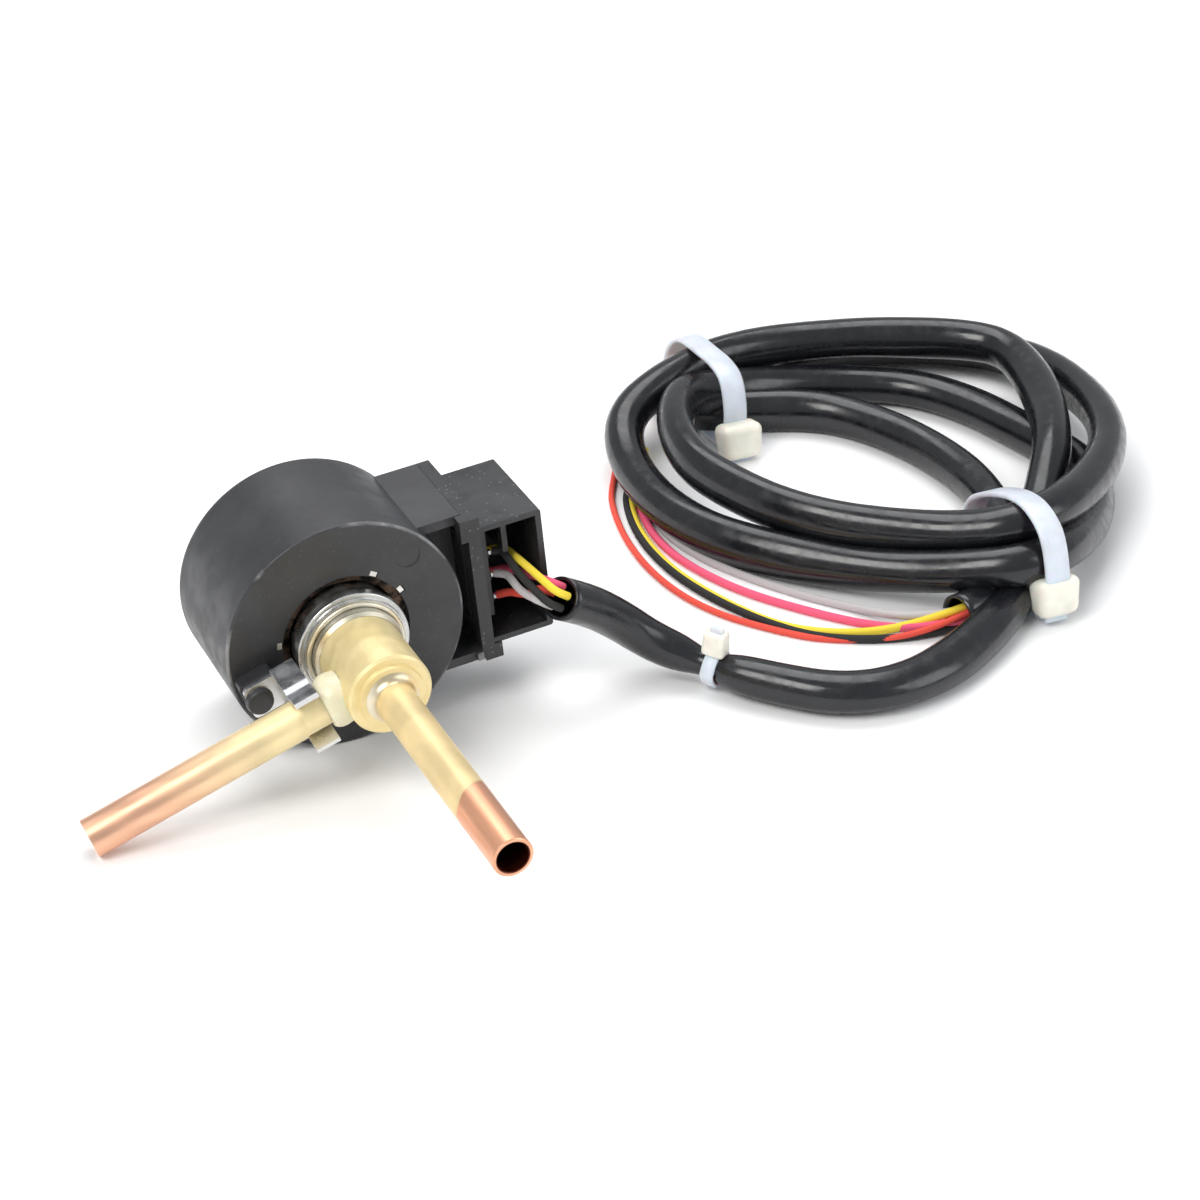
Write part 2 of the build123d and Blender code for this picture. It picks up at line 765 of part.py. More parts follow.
# Copper tubes, drawn down a little at the body: one up to its braze, one to just past the clip
with BuildPart() as outlet_tube:
    shoulder = braze_front - braze_gap
    with BuildSketch(disc_plane(-socket_floor - braze_gap)):
        Circle(neck_radius)
    extrude(amount=-shoulder - socket_floor - braze_gap)
    with BuildSketch(disc_plane(shoulder)):
        Circle(tube_radius)
    extrude(amount=outlet_reach + shoulder)
    with BuildSketch(disc_plane(-socket_floor - braze_gap)):
        Circle(tube_bore)
    extrude(amount=outlet_reach - socket_floor - braze_gap, mode=Mode.SUBTRACT)
    chamfer(outlet_tube.edges().group_by(Axis.Y)[0], length=tube_end_chamfer)
save(outlet_tube.part, "outlet_tube")

with BuildPart() as side_tube:
    neck_start = side_socket_reach + braze_gap
    side_shoulder = finger_end + seam_gap
    with BuildSketch(side_plane(neck_start)):
        Circle(neck_radius)
    extrude(amount=side_shoulder - neck_start)
    with BuildSketch(side_plane(side_shoulder)):
        Circle(tube_radius)
    extrude(amount=side_reach - side_shoulder)
    with BuildSketch(side_plane(neck_start)):
        Circle(tube_bore)
    extrude(amount=side_reach - neck_start, mode=Mode.SUBTRACT)
save(side_tube.part, "side_tube")

# Guide nut: pressed into the body, guides the holder and carries the thread
with BuildPart() as guide_nut:
    with BuildSketch(axial_plane()):
        with BuildLine():
            Polyline(
                (body_rear - nut_socket_depth + running_clearance, holder_radius + running_clearance),
                (body_rear - nut_socket_depth + running_clearance, nut_radius),
                (body_rear, nut_radius),
                (body_rear, nut_flange_radius),
                (body_rear + nut_flange, nut_flange_radius),
                (body_rear + nut_flange, nut_boss_radius),
                (nut_boss_end, nut_boss_radius - 0.3),
                (nut_boss_end, thread_radius + running_clearance),
                (guide_end, thread_radius + running_clearance),
                (guide_end, holder_radius + running_clearance),
                close=True,
            )
        make_face()
    revolve(axis=valve_axis)
    with BuildSketch(disc_plane(body_rear + nut_flange)):
        with Locations((stop_radius - stop_length / 2, 0)):
            Rectangle(stop_length, stop_width)
    extrude(amount=-stop_length)
save(guide_nut.part, "guide_nut")

# Lead screw: stub welded into the holder, thread in the nut, knurled end in the hub
with BuildPart() as lead_screw:
    with BuildSketch(axial_plane()):
        with BuildLine():
            Polyline(
                (-screw_stub_front, 0),
                (-screw_stub_front, holder_bore),
                (-holder_rear, holder_bore),
                (-holder_rear, thread_radius),
                (screw_end - screw_chamfer, thread_radius),
                (screw_end, thread_radius - screw_chamfer),
                (screw_end, 0),
                close=True,
            )
        make_face()
    revolve(axis=valve_axis)
save(lead_screw.part, "lead_screw")

with BuildPart() as needle_holder:
    with BuildSketch(axial_plane()):
        with BuildLine():
            Polyline(
                (-holder_front, needle_stem_radius + running_clearance),
                (-holder_front, holder_radius - holder_chamfer),
                (-holder_front + holder_chamfer, holder_radius),
                (-holder_rear, holder_radius),
                (-holder_rear, holder_bore),
                (-holder_front + holder_floor, holder_bore),
                (-holder_front + holder_floor, needle_stem_radius + running_clearance),
                close=True,
            )
        make_face()
    revolve(axis=valve_axis)
save(needle_holder.part, "needle_holder")

# Needle: head inside the holder, stem through its floor, cone in the seat
with BuildPart() as needle:
    with BuildSketch(axial_plane()):
        with BuildLine():
            Polyline(
                (-needle_head_rear, 0),
                (-needle_head_rear, needle_head_radius),
                (-needle_head_rear - needle_head, needle_head_radius),
                (-needle_head_rear - needle_head, needle_stem_radius),
                (-needle_shoulder, needle_stem_radius),
                (-needle_tip, needle_tip_radius),
                (-needle_tip, 0),
                close=True,
            )
        make_face()
    revolve(axis=valve_axis)
save(needle.part, "needle")

spring_length = needle_head_rear - spring_end - spring_wire
spring_height = spring_length - 2 * running_clearance
spring_pitch = spring_height / spring_coils
spring_base = (axis_x, front_y - needle_head_rear + spring_wire / 2 + running_clearance, axis_z)
with BuildPart() as needle_spring:
    with BuildLine() as spring_path:
        Helix(spring_pitch, spring_height, spring_radius, center=spring_base, direction=(0, 1, 0))
    with BuildSketch(Plane(origin=spring_path.line @ 0, z_dir=spring_path.line % 0)):
        Circle(spring_wire / 2)
    sweep(is_frenet=True)
save(needle_spring.part, "needle_spring")

with BuildPart() as thrust_washer:
    with BuildSketch(disc_plane(-screw_stub_front - running_clearance)):
        Circle(needle_head_radius)
        Circle(washer_bore, mode=Mode.SUBTRACT)
    extrude(amount=washer_thickness)
save(thrust_washer.part, "thrust_washer")

# Rotor: a ring magnet on a moulded hub with a stop arm
with BuildPart() as rotor_magnet:
    with BuildSketch(disc_plane(magnet_start)):
        Circle(magnet_radius)
        Circle(magnet_radius - magnet_wall, mode=Mode.SUBTRACT)
    extrude(amount=magnet_start - magnet_end)
    chamfer(rotor_magnet.edges().filter_by(GeomType.CIRCLE), length=magnet_chamfer)
save(rotor_magnet.part, "rotor_magnet")

with BuildPart() as rotor_hub:
    with BuildSketch(axial_plane()):
        with BuildLine():
            Polyline(
                (hub_start, thread_radius),
                (hub_start, hub_boss_radius),
                (hub_web_start, hub_boss_radius),
                (hub_web_start, magnet_radius - magnet_wall),
                (hub_web_start + hub_web, magnet_radius - magnet_wall),
                (hub_web_start + hub_web, hub_boss_radius),
                (hub_end, hub_boss_radius),
                (hub_end, thread_radius),
                close=True,
            )
        make_face()
    revolve(axis=valve_axis)
save(rotor_hub.part, "rotor_hub")

# Route of the sleeved lead from the cover to the wound part, as it lies
sleeve_route = [
    (40.9, 16.7, 20.2),
    (47.6, 17.6, 15.4),
    (55.0, 17.4, 9.6),
    (61.6, 14.2, 5.2),
    (67.2, 7.6, 4.3),
    (73.6, 0.8, 3.9),
    (81.0, -4.6, 3.8),
    (90.0, -6.6, 3.8),
    (100.4, -4.6, 3.8),
    (110.6, 0.6, 3.8),
    (118.0, 6.0, 3.8),
]
print("sleeve radii", [round(value, 1) for value in rounded_path_radii(sleeve_route)])

# Outline of the wound and tied part of the lead, and of the hole through it
coil_outline = [
    (77.4, 66.0),
    (82.6, 88.0),
    (101.0, 105.4),
    (125.6, 110.8),
    (152.0, 106.4),
    (171.2, 92.6),
    (174.2, 75.0),
    (169.0, 50.0),
    (158.0, 30.6),
    (142.0, 15.6),
    (125.0, 4.8),
    (110.0, 4.8),
    (97.6, 25.4),
    (84.0, 41.4),
]
hole_outline = [
    (91.6, 62.0),
    (92.8, 76.6),
    (103.6, 82.8),
    (120.0, 81.0),
    (131.2, 69.0),
    (132.4, 46.0),
    (124.0, 31.6),
    (111.0, 32.6),
    (98.0, 44.6),
]
# Each tie: its place along X, the stretch of Y that it holds and its height
tie_loops = {
    "left_tie": (105.6, 82.6, 109.6, 15.6),
    "right_tie": (127.1, 3.4, 33.2, 15.6),
}


def cord(points, radius):
    """Round cord along straight runs joined by arcs."""
    with BuildPart() as tube:
        with BuildLine() as route:
            FilletPolyline(*points, radius=rounded_path_radii(points))
        with BuildSketch(Plane(origin=points[0], z_dir=route.wire() % 0)):
            Circle(radius)
        sweep()
    return tube.part


save(cord(sleeve_route, sleeve_radius), "sleeve_lead")

# Five wires from the pins into the mouth of the sleeve
mouth_direction = Vector(*sleeve_route[1]) - Vector(*sleeve_route[0])
mouth = Plane(origin=sleeve_route[0], x_dir=(0, -1, 0), z_dir=mouth_direction)


def mouth_point(angle, before):
    """Place of a wire in the sleeve's mouth, or a distance before it."""
    across = wire_pitch_radius * cos(radians(angle))
    down = wire_pitch_radius * sin(radians(angle))
    return tuple(mouth.from_local_coords((across, down, -before)))


wire_entries = {"yellow": -40, "pink": -112, "red": 176, "grey": 104, "black": 32}
wire_starts = {
    "black": (front_pins[0], front_pin_station),
    "grey": (front_pins[1], front_pin_station),
    "red": (front_pins[2], front_pin_station),
    "yellow": (rear_pins[0], rear_pin_station),
    "pink": (rear_pins[1], rear_pin_station),
}
# Bends of each wire in the cover: past the pins' ends, across the neck and along the valve axis
wire_bends = {
    "black": [(1.8, 2.7, 5.8), (2.4, 0.6, 0.2)],
    "grey": [(2.0, -1.7, 5.2), (2.2, -2.4, 0.2)],
    "red": [(2.0, -5.2, 5.4), (4.0, -4.3, 1.4)],
    "yellow": [(3.2, 1.2, 8.8), (3.6, 2.0, 1.0)],
    "pink": [(3.2, -2.9, 9.0), (5.8, -1.9, 2.4)],
}
for colour, angle in wire_entries.items():
    across, place = wire_starts[colour]
    start = connector_point(pin_end + solder_gap, across, place)
    bends = [connector_point(pin_end + past, side, place) for past, side, place in wire_bends[colour]]
    points = [start, *bends, mouth_point(angle, wire_straight), mouth_point(angle, 0)]
    print(colour, "lead radii", [round(value, 1) for value in rounded_path_radii(points)])
    save(cord(points, wire_radius), f"lead_wire_{colour}")


def tie_plane(place):
    """Plane across a tie's strap: local x runs along Y and local y up."""
    return Plane(origin=(place, 0, 0), x_dir=(0, 1, 0), z_dir=(1, 0, 0))


# Wound part of the lead as one closed shape, with a channel under each tie
with BuildPart() as lead_coil:
    with BuildSketch(Plane.XY):
        with BuildLine():
            Spline(*coil_outline, periodic=True)
        make_face()
        with BuildLine():
            Spline(*hole_outline, periodic=True)
        make_face(mode=Mode.SUBTRACT)
    extrude(amount=coil_height)
    fillet(lead_coil.edges().group_by(Axis.Z)[-1], radius=coil_round)
    fillet(lead_coil.edges().group_by(Axis.Z)[0], radius=coil_round / 2)
    for place, start, end, top in tie_loops.values():
        with BuildSketch(tie_plane(place)):
            with Locations(((start + end) / 2, coil_height / 2)):
                Rectangle(end - start + 4 * tie_width, 2 * coil_height)
            with Locations(((start + end) / 2, (top + tie_strap) / 2)):
                inner_size = (end - start - 2 * tie_strap, top - tie_strap)
                RectangleRounded(*inner_size, coil_round, mode=Mode.SUBTRACT)
        extrude(amount=tie_width / 2 + tie_clearance, both=True, mode=Mode.SUBTRACT)
save(lead_coil.part, "lead_coil")

# Cable ties round the wound part: a strap, a head with its slot and the cut tail
for label, (place, start, end, top) in tie_loops.items():
    with BuildPart() as cable_tie:
        with BuildSketch(tie_plane(place)):
            with Locations(((start + end) / 2, (top + tie_strap) / 2)):
                outer_size = (end - start, top + tie_strap)
                RectangleRounded(*outer_size, coil_round + tie_strap)
                inner_gap = 2 * (tie_strap - tie_clearance)
                RectangleRounded(
                    outer_size[0] - inner_gap, outer_size[1] - inner_gap, coil_round, mode=Mode.SUBTRACT
                )
        extrude(amount=tie_width / 2, both=True)
    save(cable_tie.part, label)
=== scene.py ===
"""Dresses the electronic expansion valve: leads, sleeves, ties and the finish of every part."""

import logging
import math
from collections.abc import Callable
from dataclasses import dataclass, field
from enum import Enum

import bmesh
import bpy
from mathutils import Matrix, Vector, noise


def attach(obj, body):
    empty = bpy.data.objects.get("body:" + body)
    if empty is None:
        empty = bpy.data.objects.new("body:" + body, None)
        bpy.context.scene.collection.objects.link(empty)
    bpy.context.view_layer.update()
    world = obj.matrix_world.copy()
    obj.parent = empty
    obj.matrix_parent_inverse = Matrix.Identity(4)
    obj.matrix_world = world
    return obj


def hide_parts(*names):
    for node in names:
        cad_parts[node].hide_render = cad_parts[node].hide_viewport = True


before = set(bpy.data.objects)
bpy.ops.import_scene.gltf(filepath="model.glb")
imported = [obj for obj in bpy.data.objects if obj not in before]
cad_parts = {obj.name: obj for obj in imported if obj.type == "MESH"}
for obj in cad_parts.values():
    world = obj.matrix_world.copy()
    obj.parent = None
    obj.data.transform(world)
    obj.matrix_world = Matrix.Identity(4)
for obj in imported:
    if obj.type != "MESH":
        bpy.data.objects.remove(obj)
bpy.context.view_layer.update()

MM = 0.001
FLOOR_CLEARANCE = 0.00002
SPECK_CORE = 0.6
THROAT_INSET = 0.16
THROAT_DEPTH = 0.2
CURVE_STEPS = 8
ROUND_STEPS = 4
Colour = tuple[float, float, float]
Point = tuple[float, float, float]
log = logging.getLogger("valve")


def metres(point: Point) -> Vector:
    """A point given in millimetres, as a vector in metres."""
    return Vector(point) * MM


def mesh_object(name: str, corners: list[Vector], faces: list[tuple[int, ...]]) -> bpy.types.Object:
    """Makes a smooth-shaded mesh object.

    Args:
        name: The piece's name.
        corners: Vertex places in metres.
        faces: Vertex numbers of each face.

    Returns:
        The new object, linked to the scene.
    """
    mesh = bpy.data.meshes.new(name)
    mesh.from_pydata([tuple(c) for c in corners], [], faces)
    mesh.validate()
    mesh.shade_smooth()
    piece = bpy.data.objects.new(name, mesh)
    bpy.context.scene.collection.objects.link(piece)
    return piece


def shaded(colour: Colour, gain: float, lift: float = 0.0) -> Colour:
    """A colour scaled and lifted, at most white.

    Args:
        colour: The colour to start from.
        gain: What each part is multiplied by.
        lift: What is then added to each part.

    Returns:
        The new colour.
    """
    return tuple(min(1.0, part * gain + lift) for part in colour)


class ShaderGraph:
    """One material's node tree, with short calls for the nodes that the finishes share."""

    def __init__(self, name: str) -> None:
        """Starts a material with a single principled surface.

        Args:
            name: The material's name.
        """
        self.material = bpy.data.materials.new(name)
        self.material.use_nodes = True
        self.nodes = self.material.node_tree.nodes
        self.links = self.material.node_tree.links
        self.surface = self.nodes["Principled BSDF"]
        self.place = self.nodes.new("ShaderNodeTexCoord").outputs["Object"]

    def feed(self, socket: bpy.types.NodeSocket, value: object) -> None:
        """Links a socket to another one, or sets its plain value.

        Args:
            socket: The input to fill.
            value: Another node's output, a colour or a number.
        """
        if isinstance(value, bpy.types.NodeSocket):
            self.links.new(value, socket)
        elif isinstance(value, tuple) and len(value) == 3 and socket.type == "RGBA":
            socket.default_value = (*value, 1.0)
        else:
            socket.default_value = value

    def set(self, **values: object) -> None:
        """Sets principled inputs, whose names have underscores for spaces."""
        for key, value in values.items():
            self.feed(self.surface.inputs[key.replace("_", " ")], value)

    def noise(self, scale: float, detail: float = 3.0, rough: float = 0.5,
              stretch: Point = (1.0, 1.0, 1.0)) -> bpy.types.NodeSocket:
        """Adds noise in object space.

        Args:
            scale: Cells a metre.
            detail: Octaves.
            rough: Share of each finer octave.
            stretch: Scale along each axis.

        Returns:
            The factor socket.
        """
        mapping = self.nodes.new("ShaderNodeMapping")
        mapping.inputs["Scale"].default_value = stretch
        self.links.new(self.place, mapping.inputs["Vector"])
        texture = self.nodes.new("ShaderNodeTexNoise")
        self.links.new(mapping.outputs["Vector"], texture.inputs["Vector"])
        texture.inputs["Scale"].default_value = scale
        texture.inputs["Detail"].default_value = detail
        texture.inputs["Roughness"].default_value = rough
        return texture.outputs["Fac"]

    def specks(self, scale: float, size: float) -> bpy.types.NodeSocket:
        """Adds round specks, 1 inside a speck and 0 between them.

        Args:
            scale: Cells a metre.
            size: A speck's radius as a share of its cell.

        Returns:
            The speck factor socket.
        """
        cells = self.nodes.new("ShaderNodeTexVoronoi")
        cells.inputs["Scale"].default_value = scale
        self.links.new(self.place, cells.inputs["Vector"])
        return self.range(cells.outputs["Distance"], size, size * SPECK_CORE)

    def range(self, value: object, low: float, high: float,
              out_low: float = 0.0, out_high: float = 1.0) -> bpy.types.NodeSocket:
        """Maps a value from one range to another, clamped, and smooth where it rises.

        Args:
            value: The socket or number to map.
            low: Where the range starts.
            high: Where it ends.
            out_low: The result at low.
            out_high: The result at high.

        Returns:
            The mapped socket.
        """
        node = self.nodes.new("ShaderNodeMapRange")
        node.interpolation_type = "SMOOTHSTEP" if low < high else "LINEAR"
        self.feed(node.inputs["Value"], value)
        for key, number in zip(("From Min", "From Max", "To Min", "To Max"), (low, high, out_low, out_high)):
            node.inputs[key].default_value = number
        return node.outputs["Result"]

    def sum(self, operation: str, first: object, second: object) -> bpy.types.NodeSocket:
        """Adds a math node with two inputs.

        Args:
            operation: What it does, such as ADD.
            first: Its first socket or number.
            second: Its second socket or number.

        Returns:
            The result's socket.
        """
        node = self.nodes.new("ShaderNodeMath")
        node.operation = operation
        self.feed(node.inputs[0], first)
        self.feed(node.inputs[1], second)
        return node.outputs[0]

    def mix(self, factor: object, first: object, second: object) -> bpy.types.NodeSocket:
        """Mixes two colours by a factor.

        Args:
            factor: 0 for the first colour and 1 for the second.
            first: The first colour.
            second: The second colour.

        Returns:
            The mixed colour's socket.
        """
        node = self.nodes.new("ShaderNodeMix")
        node.data_type = "RGBA"
        self.feed(node.inputs["Factor"], factor)
        self.feed(node.inputs["A"], first)
        self.feed(node.inputs["B"], second)
        return next(o for o in node.outputs if o.type == "RGBA")

    def along(self, origin: Point, axis: Point) -> bpy.types.NodeSocket:
        """Measures the distance from a point along an axis, in millimetres.

        Args:
            origin: The point, in millimetres.
            axis: The direction, of any length.

        Returns:
            The distance's socket.
        """
        shifted = self.nodes.new("ShaderNodeVectorMath")
        shifted.operation = "SUBTRACT"
        self.links.new(self.place, shifted.inputs[0])
        shifted.inputs[1].default_value = metres(origin)
        dot = self.nodes.new("ShaderNodeVectorMath")
        dot.operation = "DOT_PRODUCT"
        self.links.new(shifted.outputs["Vector"], dot.inputs[0])
        dot.inputs[1].default_value = Vector(axis).normalized() / MM
        return dot.outputs["Value"]

    def apart(self, first: object, second: object) -> bpy.types.NodeSocket:
        """The length of two distances at right angles, as a socket."""
        squares = self.sum("ADD", self.sum("MULTIPLY", first, first), self.sum("MULTIPLY", second, second))
        return self.sum("SQRT", squares, 0.0)

    def radius(self, origin: Point) -> bpy.types.NodeSocket:
        """Distance from the line through a point along Y, in millimetres."""
        return self.apart(self.along(origin, (1.0, 0.0, 0.0)), self.along(origin, (0.0, 0.0, 1.0)))

    def bump(self, height: object, strength: float, distance: float) -> None:
        """Roughens the surface.

        Args:
            height: The height's socket.
            strength: How much of it shows, from 0 to 1.
            distance: Its depth in metres.
        """
        node = self.nodes.new("ShaderNodeBump")
        node.inputs["Strength"].default_value = strength
        node.inputs["Distance"].default_value = distance
        self.feed(node.inputs["Height"], height)
        self.links.new(node.outputs["Normal"], self.surface.inputs["Normal"])


@dataclass(frozen=True)
class Finish:
    """The base of each finish.

    Args:
        name: The material's name.
        colour: Its main colour, as linear values.
    """

    name: str
    colour: Colour

    def build(self) -> bpy.types.Material:
        """Makes the finish's material once; later calls share it.

        Returns:
            The material.
        """
        found = bpy.data.materials.get(self.name)
        if found is not None:
            return found
        graph = ShaderGraph(self.name)
        self.paint(graph)
        return graph.material

    def paint(self, graph: ShaderGraph) -> None:
        """Fills the node tree; each finish has its own."""
        raise NotImplementedError

    def dress(self, piece: bpy.types.Object) -> None:
        """Gives the finish to a piece."""
        piece.data.materials.clear()
        piece.data.materials.append(self.build())


@dataclass(frozen=True)
class MouldedPlastic(Finish):
    """Satin moulded plastic with a fine grain, soft patches and pale dust specks.

    Args:
        roughness: The middle of its roughness.
        grain: How much of the grain shows.
        dust: The specks' colour.
        dust_share: How strongly the specks cover the plastic.
    """

    roughness: float = 0.42
    grain: float = 0.25
    dust: Colour = (0.30, 0.30, 0.30)
    dust_share: float = 0.25

    def paint(self, graph: ShaderGraph) -> None:
        """Colour patches, specks and grain."""
        patches = graph.range(graph.noise(scale=90.0, detail=4.0), low=0.35, high=0.75)
        base = graph.mix(patches, self.colour, shaded(self.colour, gain=1.45, lift=0.004))
        specks = graph.sum("MULTIPLY", graph.specks(scale=900.0, size=0.16), self.dust_share)
        uneven = graph.noise(scale=260.0, detail=3.0)
        graph.set(Base_Color=graph.mix(specks, base, self.dust), Specular_IOR_Level=0.5,
                  Roughness=graph.range(uneven, low=0.3, high=0.7,
                                        out_low=self.roughness - 0.07, out_high=self.roughness + 0.09))
        graph.bump(graph.noise(scale=2600.0, detail=2.0), strength=self.grain, distance=0.00004)


@dataclass(frozen=True)
class CoilPlastic(MouldedPlastic):
    """Satin moulding with a fine pale line painted along its front rim as a highlight.

    Args:
        origin: The middle of the coil's front face, in millimetres.
        rim: Radius where the painted rim highlight starts, in millimetres.
        rim_width: Width of the painted rim highlight, in millimetres.
        highlight_and_scratch_colour: The colour of the painted rim highlight and of the scratches.
    """

    origin: Point = (0.0, 0.0, 0.0)
    rim: float = 19.25
    rim_width: float = 0.35
    highlight_and_scratch_colour: Colour = (0.28, 0.28, 0.28)

    def paint(self, graph: ShaderGraph) -> None:
        """The satin moulding, then a broken painted highlight along the rim and a few light scratches."""
        super().paint(graph)
        base = graph.surface.inputs["Base Color"].links[0].from_socket
        edge = graph.range(graph.radius(self.origin), low=self.rim, high=self.rim + self.rim_width)
        front = graph.range(graph.along(self.origin, (0.0, -1.0, 0.0)), low=-0.7, high=-0.25)
        broken = graph.range(graph.noise(scale=110.0, detail=5.0, rough=0.6), low=0.42, high=0.62, out_high=0.75)
        # Painted highlight: a broken pale line on the front rim stands in for light caught by the rounded edge.
        line = graph.sum("MULTIPLY", graph.sum("MULTIPLY", edge, front), broken)
        fine = graph.noise(scale=900.0, detail=4.0, rough=0.7, stretch=(1.0, 0.12, 1.0))
        scratches = graph.range(fine, low=0.70, high=0.80, out_high=0.25)
        graph.set(Base_Color=graph.mix(graph.sum("MAXIMUM", line, scratches), base, self.highlight_and_scratch_colour))


@dataclass(frozen=True)
class YokeSteel(Finish):
    """Yoke steel in two tones: brown-black with stains inside the bore radius, partly its own colour and partly
    painted shade of the bore wall, and pale beyond it as a painted glint at the bore's edge.

    Args:
        origin: A point on the coil's axis, in millimetres.
        bore: The radius beyond which the steel is painted pale as a glint.
        soot: The colour of its darkest stains.
        glint_colour: The colour of the painted glint beyond the bore radius.
    """

    origin: Point = (0.0, 0.0, 0.0)
    bore: float = 10.7
    soot: Colour = (0.012, 0.010, 0.009)
    glint_colour: Colour = (0.80, 0.79, 0.74)

    def paint(self, graph: ShaderGraph) -> None:
        """Painted shade, brown-black with stains, near the bore, and a painted glint, pale, outside it."""
        patches = graph.range(graph.noise(scale=700.0, detail=3.0), low=0.4, high=0.65)
        stain = graph.mix(patches, self.colour, self.soot)
        # Painted glint: the steel beyond the bore radius is pale to stand in for light caught at the bore's edge.
        glint_mask = graph.range(graph.radius(self.origin), low=self.bore - 0.05, high=self.bore + 0.05)
        uneven = graph.noise(scale=600.0, detail=3.0)
        graph.set(Base_Color=graph.mix(glint_mask, stain, self.glint_colour), Metallic=0.9,
                  Roughness=graph.range(uneven, low=0.3, high=0.7, out_low=0.26, out_high=0.46))
        graph.bump(graph.noise(scale=1800.0, detail=3.0), strength=0.3, distance=0.00005)


@dataclass(frozen=True)
class Metal(Finish):
    """Sheet or turned metal with fine marks and a little colour drift.

    Args:
        roughness: The middle of its roughness.
        drift: The colour that it drifts to in patches.
    """

    roughness: float = 0.3
    drift: Colour = (0.5, 0.5, 0.5)

    def paint(self, graph: ShaderGraph) -> None:
        """Drifting colour under fine marks."""
        patches = graph.range(graph.noise(scale=120.0, detail=4.0), low=0.4, high=0.75)
        uneven = graph.noise(scale=300.0, detail=4.0, rough=0.6)
        graph.set(Base_Color=graph.mix(patches, self.colour, self.drift), Metallic=1.0,
                  Roughness=graph.range(uneven, low=0.3, high=0.7,
                                        out_low=self.roughness - 0.08, out_high=self.roughness + 0.14))
        graph.bump(graph.noise(scale=1400.0, detail=3.0, rough=0.6), strength=0.2, distance=0.00005)


@dataclass(frozen=True)
class Vinyl(Finish):
    """Glossy extruded vinyl with slight ripples.

    Args:
        roughness: The middle of its roughness.
        ripple: How much of the ripples shows.
    """

    roughness: float = 0.25
    ripple: float = 0.3

    def paint(self, graph: ShaderGraph) -> None:
        """Gloss broken by handling marks."""
        smears = graph.range(graph.noise(scale=140.0, detail=4.0), low=0.35, high=0.7)
        uneven = graph.noise(scale=420.0, detail=3.0)
        lighter = shaded(self.colour, gain=1.25, lift=0.003)
        graph.set(Base_Color=graph.mix(smears, self.colour, lighter), Specular_IOR_Level=0.55,
                  Roughness=graph.range(uneven, low=0.3, high=0.75,
                                        out_low=self.roughness - 0.06, out_high=self.roughness + 0.12))
        graph.bump(graph.noise(scale=300.0, detail=3.0), strength=self.ripple, distance=0.0002)


@dataclass(frozen=True)
class Nylon(Finish):
    """Milky translucent nylon, and the waxy flux that looks like it.

    Args:
        roughness: Its roughness.
    """

    roughness: float = 0.35

    def paint(self, graph: ShaderGraph) -> None:
        """A waxy body with soft light inside."""
        cloud = graph.range(graph.noise(scale=220.0, detail=3.0), low=0.35, high=0.7)
        graph.set(Base_Color=graph.mix(cloud, self.colour, shaded(self.colour, gain=0.86)),
                  Roughness=self.roughness, Subsurface_Weight=0.35, Subsurface_Scale=0.002,
                  Specular_IOR_Level=0.5)
        graph.bump(graph.noise(scale=900.0, detail=2.0), strength=0.15, distance=0.00005)


@dataclass(frozen=True)
class Lacquer(Finish):
    """Brass under a semi-matt yellow lacquer, drier in places.

    Args:
        roughness: The middle of its roughness.
        deepening: What each part of the colour is multiplied by in the deeper patches.
    """

    roughness: float = 0.38
    deepening: Colour = (0.90, 0.87, 0.76)

    def paint(self, graph: ShaderGraph) -> None:
        """Clouded metal colour under a thin coat."""
        cloud = graph.range(graph.noise(scale=150.0, detail=5.0, rough=0.6), low=0.35, high=0.72)
        deeper = tuple(part * share for part, share in zip(self.colour, self.deepening))
        uneven = graph.noise(scale=500.0, detail=3.0)
        graph.set(Base_Color=graph.mix(cloud, self.colour, deeper), Metallic=0.4,
                  Roughness=graph.range(uneven, low=0.3, high=0.7,
                                        out_low=self.roughness - 0.06, out_high=self.roughness + 0.1))
        graph.bump(graph.noise(scale=700.0, detail=4.0), strength=0.3, distance=0.00006)


